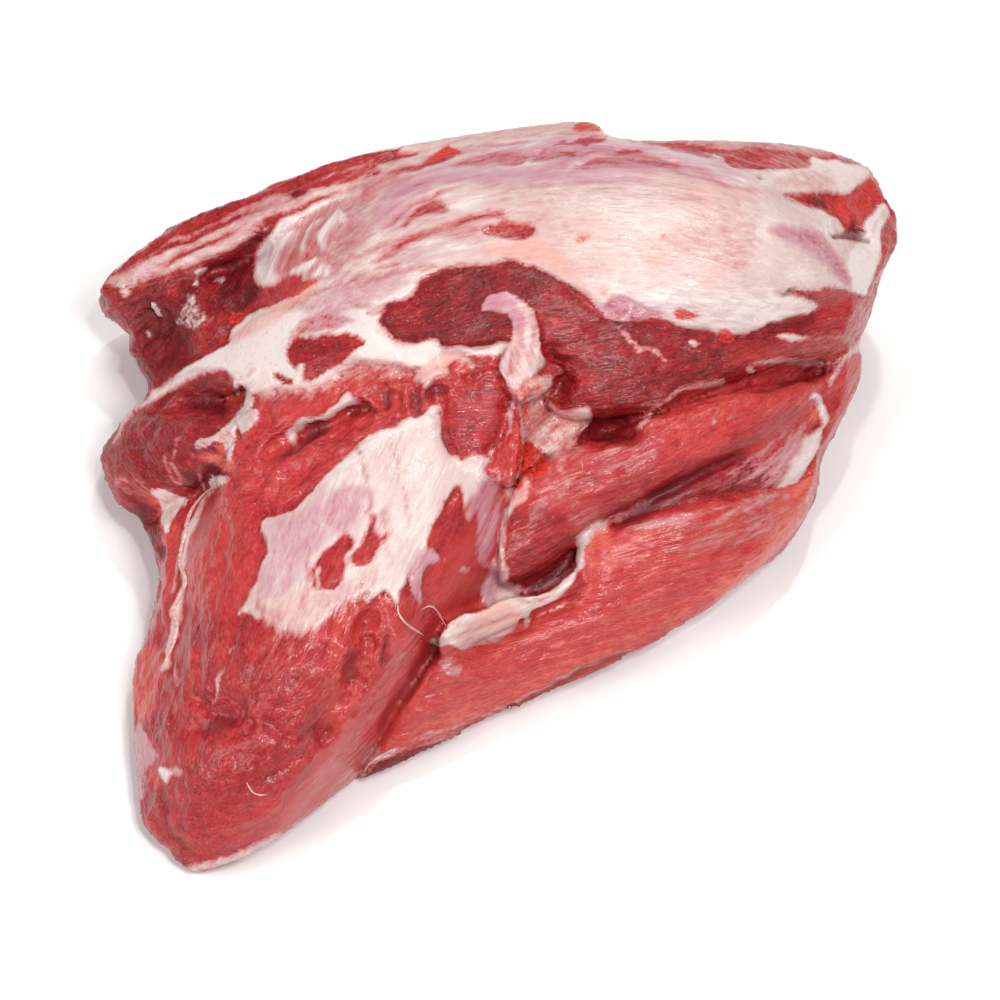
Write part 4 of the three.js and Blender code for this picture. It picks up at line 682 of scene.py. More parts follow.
# How strongly the pale parts are streaked along the grain.
STREAKS = {
    "lobe_side": (0.05, 6, [-46,-60, -54,-88, -66,-98, -80,-110, -90,-128, -104,-156, -80,-146, -52,-116,
        -24,-66]),
    "fascia": (0.12, 6, [-28,43, -60,28, -108,-12, -118,-50, -86,-60, -56,-42, -34,-22, -8,6, -22,30]),
    "cap": (0.12, 14, [0,110, 10,140, 60,142, 110,150, 160,148, 172,120, 160,92, 110,96, 60,100, 30,104]),
    "sweep": (0.15, 6, [-124,70, -98,86, -60,100, -40,96, -54,80, -40,70, 0,66, -30,58, -60,58, -90,50,
        -116,52, -150,50]),
    "fan": (0.75, 8, [-112,96, -106,122, -84,136, -40,148, -20,152, 0,134, -10,118, -40,104, -80,98]),
    "lobe_stripes": (0.65, 6, [-178,96, -150,118, -100,142, -50,154, -60,138, -110,116, -150,100]),
    "cap_top": (0.75, 8, [-20,148, 20,164, 60,164, 100,154, 110,140, 60,142, 0,142]),
    "membrane_low": (0.5, 6, [56,82, 70,96, 110,100, 144,88, 110,76, 70,80]),
    "tongue": (0.8, 3, [-8,86, 4,94, 18,84, 20,62, 4,48, 0,62, 5,78]),
    "under_tongue": (1.0, 3, [2,-6, 4,46, 12,54, 26,54, 24,30, 14,8]),
    "veins": (1.0, 4, [32,4, 36,16, 62,30, 96,36, 108,34, 80,14, 50,2]),
    "flap_streaks": (0.9, 8, [60,-14, 100,2, 132,6, 134,-8, 110,-22, 76,-26]),
    "strap": (1.0, 4, [-12,4, -4,18, 4,0, 0,-30, -8,-50, -16,-30]),
    "fascia_edge": (0.9, 4, [-38,-20, -22,-16, -20,-30, -38,-50, -46,-44]),
    "lobe_network": (1.0, 8, [-116,-50, -80,-56, -80,-76, -110,-82]),
    "lobe_network_low": (0.8, 8, [-138,-100, -108,-104, -100,-128, -124,-144]),
    "knob": (0.9, 6, [-182,20, -150,30, -126,10, -160,-4]),
    "wavy": (0.6, 5, [-28,46, 4,48, 0,26, -20,18]),
    "ribbon": (0.5, 3, [-30,-66, -20,-50, 8,-44, 8,-58, -18,-68]),
}

# Where the cut is torn and craggy rather than smooth.
CRAGS = {
    "shoulder": (1.15, 6, [-120,50, -80,50, -60,62, -10,66, 2,48, -30,38, -50,28, -80,4, -110,-6, -118,20]),
    "under_tongue": (0.9, 5, [2,50, 20,60, 40,42, 34,20, 14,6, 6,14]),
    "lobe": (0.95, 8, [-80,-40, -50,-42, -44,-60, -52,-92, -76,-112, -92,-116, -84,-90]),
    "lobe_pit": (1.1, 6, [-138,-84, -118,-88, -112,-106, -136,-106]),
    "left_end": (0.8, 8, [-176,92, -150,104, -120,104, -108,88, -126,68, -156,60]),
    "cap_end": (0.8, 4, [124,136, 156,140, 172,148, 178,130, 150,118, 140,130]),
    "ribbon": (0.4, 4, [-30,-66, -20,-50, 8,-44, 30,-32, 36,-32, 8,-58]),
    "knob_seam": (0.8, 5, [-140,26, -112,52, -106,40, -120,14, -132,2]),
    "sliver": (0.8, 4, [-16,-100, 4,-94, 20,-88, 4,-98, -12,-108]),
}

# Parts whose grain runs another way than their muscle's.
GRAINS = {
    "crescent": (20, FORMS["crescent_cut"][-1]),
    "band": (8, FORMS["dark_band"][-1]),
    "fan": (62, [-112,96, -110,116, -98,128, -84,132, -72,132, -74,118, -80,100, -94,92]),
    "membrane_low": (-15, [54,80, 62,92, 84,100, 112,98, 130,94, 146,88, 130,80, 106,74, 80,78]),
    "wavy": (4, [-28,46, -10,54, 4,46, 2,30, -8,19, -23,19, -28,34]),
    "strap": (70, [-8,20, 2,30, 8,24, 8,6, 0,-26, -8,-50, -30,-56, -34,-28, -16,-12]),
    "lobe_side": (52, STREAKS["lobe_side"][-1]),
    "veins": (24, [30,2, 36,18, 64,32, 80,30, 72,8, 50,0]),
    "top_edge": (12, [60,163, 100,158, 140,158, 166,150, 180,160, 120,178, 50,174]),
}


# Thin strands of sinew and fat that lie on the meat: half width in the middle, path on the sheet.
STRANDS = {
    "seam": (1.3, [-129,6, -135,1, -139,-6, -141,-14, -144,-28, -142,-33, -141,-38, -144,-44, -147,-50,
        -145,-56, -146,-62, -149,-69, -152,-75]),
    "curl": (0.55, [-46,-46, -46,-51, -42,-56, -34,-61]),
    "curl_high": (0.45, [-36,-49, -30,-48, -24,-57]),
    "lobe_curl": (0.4, [-114,-127, -111,-132, -108,-133, -104,-133]),
    "tail": (0.8, [-48,-112, -58,-118, -61,-122, -70,-130, -75,-137]),
}


# ---- distances on the sheet ----------------------------------------------------------------------

STEPS_PER_POINT = 4
RIDGE_SOFTNESS = 0.05


def points_of(run):
    """The points of an outline or path, one row each."""
    return np.reshape(run, (-1, 2)).astype(float)


def closed_curve(outline):
    knots = points_of(outline)
    before, after, later = np.roll(knots, 1, 0), np.roll(knots, -1, 0), np.roll(knots, -2, 0)
    share = (np.arange(STEPS_PER_POINT) / STEPS_PER_POINT)[None, :, None]
    a, b, c, d = (k[:, None, :] for k in (before, knots, after, later))
    curve = 0.5 * (2 * b + (c - a) * share + (2 * a - 5 * b + 4 * c - d) * share**2
                   + (3 * b - a - 3 * c + d) * share**3)
    return curve.reshape(-1, 2)


def edge_distance(curve, u, v, smooth=False):
    """Signed distance to a closed curve, above zero inside. A smooth one has no ridge in the middle."""
    nearest = np.full(u.shape, np.inf)
    pull = np.zeros(u.shape)
    inside = np.zeros(u.shape, bool)
    for (a, b), (c, d) in zip(curve, np.roll(curve, -1, 0)):
        length = math.hypot(c - a, d - b)
        along = ((u - a) * (c - a) + (v - b) * (d - b)) / length
        off = ((u - a) * (d - b) - (v - b) * (c - a)) / length
        nearest = np.minimum(nearest, (along - np.clip(along, 0, length)) ** 2 + off**2)
        if smooth:
            square = off**2 + RIDGE_SOFTNESS
            ahead = length - along
            pull += (ahead / np.sqrt(ahead**2 + square) + along / np.sqrt(along**2 + square)) / square
        crosses = (b > v) != (d > v)
        inside ^= crosses & (u < a + (v - b) * (c - a) / (d - b if d != b else 1e-9))
    inner = np.sqrt(2 / np.maximum(pull, 1e-12)) if smooth else np.sqrt(nearest)
    return np.where(inside, inner, -np.sqrt(nearest))


def path_distance(path, u, v):
    """Distance to an open path, and how far along it the nearest point lies, from 0 to 1."""
    nearest = np.full(u.shape, np.inf)
    share = np.zeros(u.shape)
    knots = points_of(path)
    for n, ((a, b), (c, d)) in enumerate(zip(knots, knots[1:])):
        foot = np.clip(((u - a) * (c - a) + (v - b) * (d - b)) / ((c - a) ** 2 + (d - b) ** 2), 0, 1)
        gap = np.hypot(u - a - foot * (c - a), v - b - foot * (d - b))
        share = np.where(gap < nearest, (n + foot) / (len(knots) - 1), share)
        nearest = np.minimum(nearest, gap)
    return nearest, share


class Sheet:
    """Maps on a square grid over the sheet, read anywhere between its points."""

    def __init__(self, half_width, half_height):
        self.half = (half_width, half_height)
        us = np.arange(-half_width, half_width + SHEET_STEP, SHEET_STEP)
        vs = np.arange(-half_height, half_height + SHEET_STEP, SHEET_STEP)
        self.u, self.v = np.meshgrid(us, vs)
        self.wander_u, self.wander_v = self.u, self.v

    def wander(self, reach, size):
        """From now on, outlines are drawn with an unsteady hand: off by up to reach mm."""
        place = np.column_stack([self.u.ravel(), self.v.ravel(), np.zeros(self.u.size)])
        self.wander_u = self.u + reach * rough(place, (size,) * 3, 3).reshape(self.u.shape)
        self.wander_v = self.v + reach * rough(place + ASIDE, (size,) * 3, 3).reshape(self.u.shape)

    def near(self, points, margin):
        """The part of the grid within margin of the points' box."""
        low, high = np.min(points, 0) - margin, np.max(points, 0) + margin
        columns = (self.u[0] >= low[0]) & (self.u[0] <= high[0])
        rows = (self.v[:, 0] >= low[1]) & (self.v[:, 0] <= high[1])
        return np.ix_(rows, columns)

    def edge(self, outline, smooth=False, margin=EDGE_MARGIN):
        curve = closed_curve(outline)
        part = self.near(curve, margin)
        distance = np.full(self.u.shape, -float(margin))
        edge = edge_distance(curve, self.wander_u[part], self.wander_v[part], smooth)
        distance[part] = np.maximum(edge, -margin)
        return distance

    def read(self, maps, u, v):
        """maps is one map or a stack of them, the last two axes being the grid's."""
        a = np.clip((u + self.half[0]) / SHEET_STEP, 0, self.u.shape[1] - 1.001)
        b = np.clip((v + self.half[1]) / SHEET_STEP, 0, self.u.shape[0] - 1.001)
        i, j = a.astype(int), b.astype(int)
        s, t = a - i, b - j
        return ((maps[..., j, i] * (1 - s) + maps[..., j, i + 1] * s) * (1 - t)
                + (maps[..., j + 1, i] * (1 - s) + maps[..., j + 1, i + 1] * s) * t)


# ---- the form of the meat -------------------------------------------------------------------------

SHEET_UNIT = 100


def bend(squared):
    return 0.5 * squared * np.log(squared + 1e-9)


def springy_sheet(posts, u, v):
    """Height at u, v of a thin springy sheet laid through the posts."""
    a, b, z = (np.reshape(posts, (-1, 3)) / (SHEET_UNIT, SHEET_UNIT, 1)).T
    size = len(a)
    pull = bend((a[:, None] - a) ** 2 + (b[:, None] - b) ** 2) + STIFFNESS * np.eye(size)
    plane = np.stack([np.ones(size), a, b], 1)
    system = np.block([[pull, plane], [plane.T, np.zeros((3, 3))]])
    weights = np.linalg.solve(system, np.concatenate([z, np.zeros(3)]))
    height = weights[size] + weights[size + 1] * u / SHEET_UNIT + weights[size + 2] * v / SHEET_UNIT
    for weight, c, d in zip(weights, a, b):
        height = height + weight * bend((u / SHEET_UNIT - c) ** 2 + (v / SHEET_UNIT - d) ** 2)
    return height


def rounded_slab(inward, under, reach, drop):
    corner = np.hypot(np.maximum(0, 1 - inward / reach), np.maximum(0, 1 - under / drop))
    return np.minimum(reach, drop) * (1 - corner)


def soft_max(a, b, width):
    share = np.clip(0.5 + 0.5 * (a - b) / width, 0, 1)
    return b + (a - b) * share + width * share * (1 - share)


def soft_min(a, b, width):
    return -soft_max(-a, -b, width)


def on_sheet(x, y, z):
    height = z - SHEET_HEIGHT
    scale = SIGHT_LENGTH / (SIGHT_LENGTH + y * SIGHT_ACROSS - height * SIGHT_DOWN)
    return x * scale, (y * SIGHT_DOWN + height * SIGHT_ACROSS) * scale


class Meat:
    def __init__(self):
        self.sheet = Sheet(*SHEET_HALF)
        u, v = self.sheet.u, self.sheet.v
        self.level = springy_sheet(HEIGHTS, u, v)
        self.rim = self.sheet.edge(JOINT_OUTLINE, smooth=True)
        self.forms = {name: self.sheet.edge(form[-1], smooth=True) for name, form in FORMS.items()}
        self.torn = np.zeros(u.shape)
        for depth, width, path in [*TEARS.values(), *CREASES.values()]:
            self.torn += depth * np.exp(-((path_distance(path, u, v)[0] / width) ** 2))
        self.plan = Sheet(*PLAN_HALF)
        self.plan_edge = self.plan.edge(PLAN_OUTLINE, smooth=True)

    def inside(self, x, y, z):
        """Above zero inside the meat, below zero outside it."""
        u, v = on_sheet(x, y, z)
        plan = self.plan.read(self.plan_edge, x, y)
        rim, level, torn = self.sheet.read(np.stack([self.rim, self.level, self.torn]), u, v)
        under = level - torn - z
        meat = rounded_slab(rim + CORE_DEPTH, under - CORE_DEPTH, CORE_DEPTH, CORE_DEPTH)
        for name, (lift, reach, drop, *_) in FORMS.items():
            edge = self.sheet.read(self.forms[name], u, v)
            near = edge > 1 - EDGE_MARGIN
            muscle = rounded_slab(edge[near], under[near] + lift, reach, drop)
            meat[near] = soft_max(muscle, meat[near], WELD)
        above = level + RIM_ABOVE + np.maximum(0, v - RIM_BACK)
        outer = rounded_slab(rim, above - z, RIM_REACH, np.maximum(RIM_LEAST_FALL, level * RIM_FALL))
        back = rounded_slab(plan, TALLEST - z, BACK_REACH, BACK_FALL)
        fold_line = z - FOLD_HEIGHT - FOLD_SLOPE * x - FOLD_WAVE * np.sin(x / FOLD_LENGTH)
        upper = rounded_slab(plan, fold_line + FOLD_OVERLAP, FOLD_REACH, FOLD_REACH)
        swell = SWELL * np.sin(x / SWELL_LENGTH) + SMALL_SWELL * np.sin((x + y + z) / SMALL_SWELL_LENGTH)
        lower = rounded_slab(plan - FOLD_SET_BACK + swell, FOLD_OVERLAP - fold_line, FOLD_REACH,
                             FOLD_REACH)
        fold = soft_max(upper, lower, WELD)
        behind = np.clip(y / BACK_FOOT_FROM, 0, 1)
        front_foot = rounded_slab(rim, z + UNDERSIDE_INSET, UNDERSIDE_REACH, UNDERSIDE_FALL)
        back_foot = rounded_slab(plan, z + UNDERSIDE_INSET, UNDERSIDE_REACH + BACK_FOOT_REACH * behind,
                                 UNDERSIDE_FALL + BACK_FOOT_FALL * behind)
        corner = CORNER_WELD * np.clip(1 - z / CORNER_TOP, CORNER_LEAST, 1)
        walls = soft_min(outer, np.minimum(back, fold), corner)
        return np.minimum.reduce([meat, walls, front_foot, back_foot])

    def owner(self):
        """For each point of the sheet, which form shows there: its place in FORMS, or -1."""
        best = np.full(self.level.shape, -float(CORE_DEPTH))
        shows = np.full(self.level.shape, -1)
        for n, (name, (lift, reach, drop, *_)) in enumerate(FORMS.items()):
            corner = np.clip(1 - self.forms[name] / reach, 0, 1)
            top = np.where(self.forms[name] > 0, lift - drop * (1 - np.sqrt(1 - corner**2)), -99)
            shows = np.where(top > best, n, shows)
            best = np.maximum(best, top)
        return shows


# ---- the skin: one vertex in each small cell that the surface passes through ----------------------

CORNERS = np.array([(n & 1, (n >> 1) & 1, (n >> 2) & 1) for n in range(8)])
EDGES = [(n, n | bit) for n in range(8) for bit in (1, 2, 4) if not n & bit]


def sample_near_surface(meat, low, counts):
    """The meat's values on the fine grid, worked out only near the surface."""
    coarse_counts = [c // COARSE_STEP + 2 for c in counts]
    axes = [start + np.arange(n) * FINE_CELL * COARSE_STEP for start, n in zip(low, coarse_counts)]
    coarse = meat.inside(*np.meshgrid(*axes, indexing="ij"))
    near = np.abs(coarse) < NEAR_SURFACE * FINE_CELL * COARSE_STEP
    for axis in range(3):
        near = near | np.roll(near, 1, axis) | np.roll(near, -1, axis)
    wide = coarse
    for axis in range(3):
        near = np.repeat(near, COARSE_STEP, axis)
        wide = np.repeat(wide, COARSE_STEP, axis)
    cut = tuple(slice(0, c) for c in counts)
    near, values = near[cut], wide[cut].copy()
    i, j, k = np.nonzero(near)
    values[i, j, k] = meat.inside(*(start + FINE_CELL * n for start, n in zip(low, (i, j, k))))
    return values


def cell_points(values, cells, corners):
    """The mean of the points where the surface crosses each cell's edges, in cells."""
    at = [values[tuple((cells + corner).T)] for corner in corners]
    total = np.zeros((len(cells), 3))
    count = np.zeros(len(cells))
    for m, n in EDGES:
        if n >= len(corners):
            continue
        crosses = (at[m] > 0) != (at[n] > 0)
        gap = np.where(crosses, at[m] - at[n], 1)
        share = np.where(crosses, at[m] / gap, 0)
        total += np.where(crosses[:, None], corners[m] + share[:, None] * (corners[n] - corners[m]), 0)
        count += crosses
    return cells + total / count[:, None]


def mixed(inside, corners):
    shape = tuple(n - 1 for n in inside.shape[:len(corners[0])])
    total = sum(inside[tuple(slice(c, c + n) for c, n in zip(corner, shape))].astype(np.int8)
                for corner in corners)
    return (total > 0) & (total < len(corners))


def skin(values, low):
    """Points and quads of the surface above the board, and the loop round its open underside."""
    inside = values > 0
    cells = np.argwhere(mixed(inside, CORNERS))
    squares = np.argwhere(mixed(inside[:, :, 0], CORNERS[:4, :2]))
    squares = np.column_stack([squares, np.zeros(len(squares), int)])
    points = np.vstack([cell_points(values, squares, CORNERS[:4]), cell_points(values, cells, CORNERS)])
    number = np.full([n + 1 for n in values.shape], -1)
    number[squares[:, 0], squares[:, 1], 0] = np.arange(len(squares))
    number[cells[:, 0], cells[:, 1], cells[:, 2] + 1] = len(squares) + np.arange(len(cells))

    quads, rim = [], {}
    # for each axis, the four cells round a grid edge, in turn, as steps back from the edge's own cell
    rounds = {
        0: [(0, 1, 1), (0, 0, 1), (0, 0, 0), (0, 1, 0)],
        1: [(1, 0, 1), (1, 0, 0), (0, 0, 0), (0, 0, 1)],
        2: [(1, 1, 0), (0, 1, 0), (0, 0, 0), (1, 0, 0)],
    }
    for axis, steps in rounds.items():
        first = [slice(None)] * 3
        second = [slice(None)] * 3
        first[axis], second[axis] = slice(0, -1), slice(1, None)
        edges = np.argwhere(inside[tuple(first)] != inside[tuple(second)])
        leaving = inside[tuple(edges.T)]
        corners = np.stack([number[tuple((edges - step + (0, 0, 1)).T)] for step in steps], 1)
        corners[~leaving] = corners[~leaving][:, ::-1]
        if axis < 2:
            for quad in corners[edges[:, 2] == 0]:
                on_board = [n for n in range(4) if quad[n] < len(squares)]
                a, b = on_board
                if (a + 1) % 4 != b:
                    a, b = b, a
                rim[int(quad[b])] = int(quad[a])
        quads.append(corners)
    loop = [next(iter(rim))]
    while rim[loop[-1]] != loop[0]:
        loop.append(rim[loop[-1]])
    return np.array(low) + points * FINE_CELL, np.vstack(quads), loop


def point_normals(points, quads):
    face = np.cross(points[quads[:, 2]] - points[quads[:, 0]], points[quads[:, 3]] - points[quads[:, 1]])
    normals = np.zeros(points.shape)
    for corner in range(4):
        for axis in range(3):
            normals[:, axis] += np.bincount(quads[:, corner], face[:, axis], len(points))
    return normals / (np.linalg.norm(normals, axis=1)[:, None] + 1e-12)


# ---- noise -----------------------------------------------------------------------------------------

rng = np.random.default_rng(7)
LATTICE = 64
KNOTS = rng.uniform(-1, 1, (LATTICE, LATTICE, LATTICE))


def lumps(place):
    """Smooth noise from -1 to 1 with a knot at each whole number. place is one row a point."""
    base = np.floor(place).astype(int)
    share = place - base
    share = share**2 * (3 - 2 * share)
    total = np.zeros(len(place))
    for corner in CORNERS:
        weight = np.prod(np.where(corner, share, 1 - share), axis=1)
        total += weight * KNOTS[tuple(((base + corner) % LATTICE).T)]
    return total


def rough(place, sizes, octaves=3):
    """Noise in layers, each half as big and half as strong. sizes is the first layer's, per axis."""
    total = np.zeros(len(place))
    for octave in range(octaves):
        total += lumps(place / np.array(sizes) * 2**octave + 17.3 * octave) / 2**octave
    return total


def ramp(value, low, high):
    share = np.clip((value - low) / (high - low), 0, 1)
    return share * share * (3 - 2 * share)


# ---- the zones, as values for each vertex -----------------------------------------------------------

LINE_END = 0.2
PLAIN_STREAKS = 0.3
# One radian of an arc counts as this length of grain, and each grain has its own place in the noise.
ARC_RADIAN = 230
GRAIN_APART, GRAIN_ASIDE, HIDDEN_APART, HIDDEN_RISE = 400, 250, 900, 0.12
# On the hidden sides: the lumps of the patches and clouds of silverskin, where it starts and ends
# and how raggedly, and the seams between the bundles.
PATCH_LUMPS, CLOUD_LUMPS = (34, 30, 22), (20, 24, 11)
COVER_LEFT, COVER_RIGHT, RAGGED_END = (-150, -90), (120, 170), 20
SEAM_LUMPS, SEAM_WIDTH = (62, 55, 32), 0.09
# The skin counts as hidden from where it turns this far from the line of sight.
AWAY_FROM, AWAY_TO = -0.03, 0.13


def painted(sheet, field, zones):
    """Lays each zone over the last: its value, how softly it fades at its edge, its outline."""
    for value, soft, outline in zones.values():
        share = ramp(sheet.edge(outline, margin=soft + 3), -soft / 2, soft / 2)
        field = field + (value - field) * share
    return field


def lined(sheet, field, lines):
    """Draws each line over the last: its value, its half width, its path. It grows faint in the
    first and last quarter of its length."""
    for value, width, path in lines.values():
        part = sheet.near(points_of(path), 3 * width)
        gap, along = path_distance(path, sheet.wander_u[part], sheet.wander_v[part])
        share = np.exp(-((gap / width) ** 2)) * np.clip(4 * np.minimum(along, 1 - along), LINE_END, 1)
        field[part] += (value - field[part]) * share
    return field


def softened(field, passes):
    for _ in range(passes):
        for axis in (0, 1):
            field = (2 * field + np.roll(field, 1, axis) + np.roll(field, -1, axis)) / 4
    return field


def grain_runs():
    """The run of the grain for each number that grain_map gives, the core's own last."""
    return [form[4] for form in FORMS.values()] + [run for run, _ in GRAINS.values()] + [CORE_GRAIN]


def grain_map(sheet, shows):
    """The number of the grain that each point of the sheet has."""
    numbers = np.where(shows < 0, len(FORMS) + len(GRAINS), shows)
    for n, (_, outline) in enumerate(GRAINS.values()):
        numbers = np.where(sheet.edge(outline, margin=1) > 0, len(FORMS) + n, numbers)
    return numbers


def grain_place(numbers, points):
    """Along the grain, across it and up, for points with a grain number each. Those that face away
    from the camera, numbered -1, have their grain round the joint."""
    u, v = on_sheet(*points.T)
    along, across = points[:, 0] + HIDDEN_APART, points[:, 2] + HIDDEN_RISE * points[:, 0]
    for n, run in enumerate(grain_runs()):
        here = numbers == n
        if isinstance(run, tuple):
            along[here] = np.arctan2(u[here] - run[0], v[here] - run[1]) * ARC_RADIAN
            across[here] = np.hypot(u[here] - run[0], v[here] - run[1])
        else:
            angle = math.radians(run)
            along[here] = u[here] * math.cos(angle) + v[here] * math.sin(angle) + GRAIN_APART * n
            across[here] = v[here] * math.cos(angle) - u[here] * math.sin(angle) + GRAIN_ASIDE * n
    depth = np.where(numbers < 0, points[:, 1], points[:, 2])
    return np.column_stack([along, across, depth])


def read_numbers(sheet, numbers, points, away):
    """The grain number of each point, -1 where it faces away."""
    u, v = on_sheet(*points.T)
    column = np.clip(np.rint((u + sheet.half[0]) / SHEET_STEP), 0, sheet.u.shape[1] - 1).astype(int)
    row = np.clip(np.rint((v + sheet.half[1]) / SHEET_STEP), 0, sheet.u.shape[0] - 1).astype(int)
    return np.where(away > 0.5, -1, numbers[row, column])


def paint_maps(meat):
    """The painted values on the sheet, with the places' own tones under them."""
    sheet = meat.sheet
    shows = meat.owner()
    tones = np.array([form[3] for form in FORMS.values()] + [CORE_TONE])
    blank = np.zeros(sheet.u.shape)
    numbers = grain_map(sheet, shows)
    sheet.wander(HAND_REACH, HAND_LENGTH)
    maps = {
        "veil": lined(sheet, painted(sheet, blank, VEIL), LINES),
        "warmth": painted(sheet, blank, WARMTH),
        "tone": painted(sheet, softened(tones[shows], 3), TONES),
        "fat": painted(sheet, blank, FAT),
        "blood": painted(sheet, blank, BLOOD),
        # painted shade in holes and creases
        "dark": painted(sheet, blank, PAINTED_SHADE),
        "film": painted(sheet, blank, FILM),
        "streaks": painted(sheet, blank + PLAIN_STREAKS, STREAKS),
        "crags": painted(sheet, blank, CRAGS),
    }
    return maps, numbers


def zone_values(meat, maps, points, normals):
    """Each painted value at each point. What faces away from the camera has its own: silverskin
    above the fold between the two back muscles, and lean below it."""
    u, v = on_sheet(*points.T)
    values = dict(zip(maps, meat.sheet.read(np.stack(list(maps.values())), u, v)))
    x, _, z = points.T
    away = away_from_sight(points, normals)
    fold_line = z - FOLD_HEIGHT - FOLD_SLOPE * x - FOLD_WAVE * np.sin(x / FOLD_LENGTH)
    patches = rough(points * (0.6, 1, 1) + 60, PATCH_LUMPS, 3)
    cloudy = rough(points * (0.5, 1, 1) + 120, CLOUD_LUMPS, 3)
    ragged_x = x + RAGGED_END * patches
    covered = ramp(ragged_x, *COVER_LEFT) * (1 - ramp(ragged_x, *COVER_RIGHT))
    behind = {
        "veil": ramp(fold_line + 14 * patches, -4, 9) * covered * (0.62 + 0.30 * patches + 0.22 * cloudy)
        + ramp(cloudy, 0.25, 0.9) * 0.45,
        "warmth": 0.5 * cloudy,
        "tone": 0.42 + 0.14 * patches + 0.10 * cloudy,
        "fat": np.maximum(ramp(5 - np.abs(fold_line - 2) + 5 * patches, 2, 5) * 0.9,
                          0.8 * back_seams(points) * ramp(cloudy, -0.3, 0.4)),
        "blood": 0,
        # painted shade along the crease of the fold between the back muscles
        "dark": 0.4 * ramp(7 - np.abs(fold_line + 1), 0, 6),
        "film": 0,
        "streaks": 0.8,
        "crags": 0.35,
    }
    return {name: value + (behind[name] - value) * away for name, value in values.items()}, away


def back_seams(points):
    """1 where the hidden back's bundles meet, 0 between the seams."""
    return np.exp(-((rough(points * (0.6, 1, 1) + 200, SEAM_LUMPS, 2) / SEAM_WIDTH) ** 2))


def away_from_sight(points, normals):
    """1 where the skin faces away from the camera, 0 where it faces it."""
    eye = np.array([0, -SIGHT_LENGTH * SIGHT_ACROSS, SHEET_HEIGHT + SIGHT_LENGTH * SIGHT_DOWN])
    sight = eye - points
    sight /= np.linalg.norm(sight, axis=1)[:, None]
    return 1 - ramp(np.sum(sight * normals, axis=1), AWAY_FROM, AWAY_TO)


# ---- relief ------------------------------------------------------------------------------------------

# Each kind of relief: its height in millimetres, the sizes of its lumps in millimetres (along the
# grain, across it and into the meat, or along x, y and z), its layers and its place in the noise.
RELIEF = {
    "swell": (0.9, (42, 42, 42), 2, 0),
    "hidden": (2.6, (44, 44, 26), 2, 300),
    "bundles": (0.55, (26, 5, 7), 3, 0),
    "pitted": (1.1, (18, 8, 12), 3, 40),
    "torn": (2.6, (13, 8, 9), 3, 400),
    "ridges": (0.35, (50, 5, 9), 2, 90),
    "wrinkles": (0.25, (60, 14, 12), 2, 70),
    "fat": (0.7, (7, 7, 7), 2, 9),
}
HIDDEN_SINK, SEAM_DEPTH, SKIN_THICKNESS, FAT_THICKNESS, HOLE_DEPTH = 0.78, 3.2, 0.55, 0.7, 2.0
# Silverskin levels the lean under it from the first of these thicknesses up to the second.
LEVELLING = (0.3, 0.75)
# The relief grows from nothing at the board to its full height, over these heights.
FOOT_FADE = (0.5, 7)


def relief_of(kind, place):
    height, sizes, layers, shift = RELIEF[kind]
    return height * rough(place + shift, sizes, layers)


def relief(points, grain, zones, away):
    """How far each point stands out from the plain form."""
    pale = np.maximum(ramp(zones["veil"], *LEVELLING), zones["fat"])
    lean = (1 - pale) * (1 - 0.8 * zones["film"])
    hidden = relief_of("hidden", points) - HIDDEN_SINK - SEAM_DEPTH * back_seams(points)
    lean_relief = (relief_of("bundles", grain)
                   - np.abs(relief_of("pitted", grain)) * (1 - 0.8 * zones["dark"])) * lean
    torn = np.abs(relief_of("torn", grain)) * zones["crags"] * (1 - 0.7 * pale)
    skin_relief = (SKIN_THICKNESS + relief_of("ridges", grain) * zones["streaks"]
                   + relief_of("wrinkles", grain)) * pale
    fat_relief = (FAT_THICKNESS + relief_of("fat", points)) * zones["fat"]
    return (relief_of("swell", points) + away * hidden + lean_relief - torn + skin_relief + fat_relief
            - HOLE_DEPTH * zones["dark"])


def make_topside():
    meat = Meat()
    counts = [int((b - a) / FINE_CELL) + 1 for a, b in zip(SKIN_LOW, SKIN_HIGH)]
    points, quads, loop = skin(sample_near_surface(meat, SKIN_LOW, counts), SKIN_LOW)
    normals = point_normals(points, quads)
    maps, numbers = paint_maps(meat)
    zones, away = zone_values(meat, maps, points, normals)
    own_grain = grain_place(read_numbers(meat.sheet, numbers, points, away), points)
    plain = points
    lifted = ramp(points[:, 2], *FOOT_FADE)
    points = points + normals * (relief(points, own_grain, zones, away) * lifted)[:, None]
    points[:, 2] = np.maximum(points[:, 2], 0)
    centre = (points[:, :2].min(0) + points[:, :2].max(0)) / 2
    placed = points.copy()
    placed[:, :2] -= centre
    mesh = bpy.data.meshes.new("topside_meat")
    mesh.from_pydata((placed * MM).tolist(), [], quads.tolist() + [loop])
    mesh.update()
    smooth = np.ones(len(mesh.polygons), bool)
    smooth[-1] = False
    mesh.polygons.foreach_set("use_smooth", smooth)
    for name, value in zones.items():
        mesh.attributes.new(name, "FLOAT", "POINT").data.foreach_set("value", value.astype(np.float32))
    # the grain changes at once from face to face, so that its pattern isn't stretched between them
    face_numbers = read_numbers(meat.sheet, numbers, plain[quads].mean(1), away[quads].mean(1))
    corners = np.concatenate([quads.ravel(), loop])
    corner_numbers = np.concatenate([np.repeat(face_numbers, 4), np.full(len(loop), -1)])
    grain = grain_place(corner_numbers, plain[corners]).astype(np.float32)
    mesh.attributes.new("grain", "FLOAT_VECTOR", "CORNER").data.foreach_set("vector", grain.ravel())
    piece = bpy.data.objects.new("topside_meat", mesh)
    bpy.context.scene.collection.objects.link(piece)
    return piece, points, quads, centre


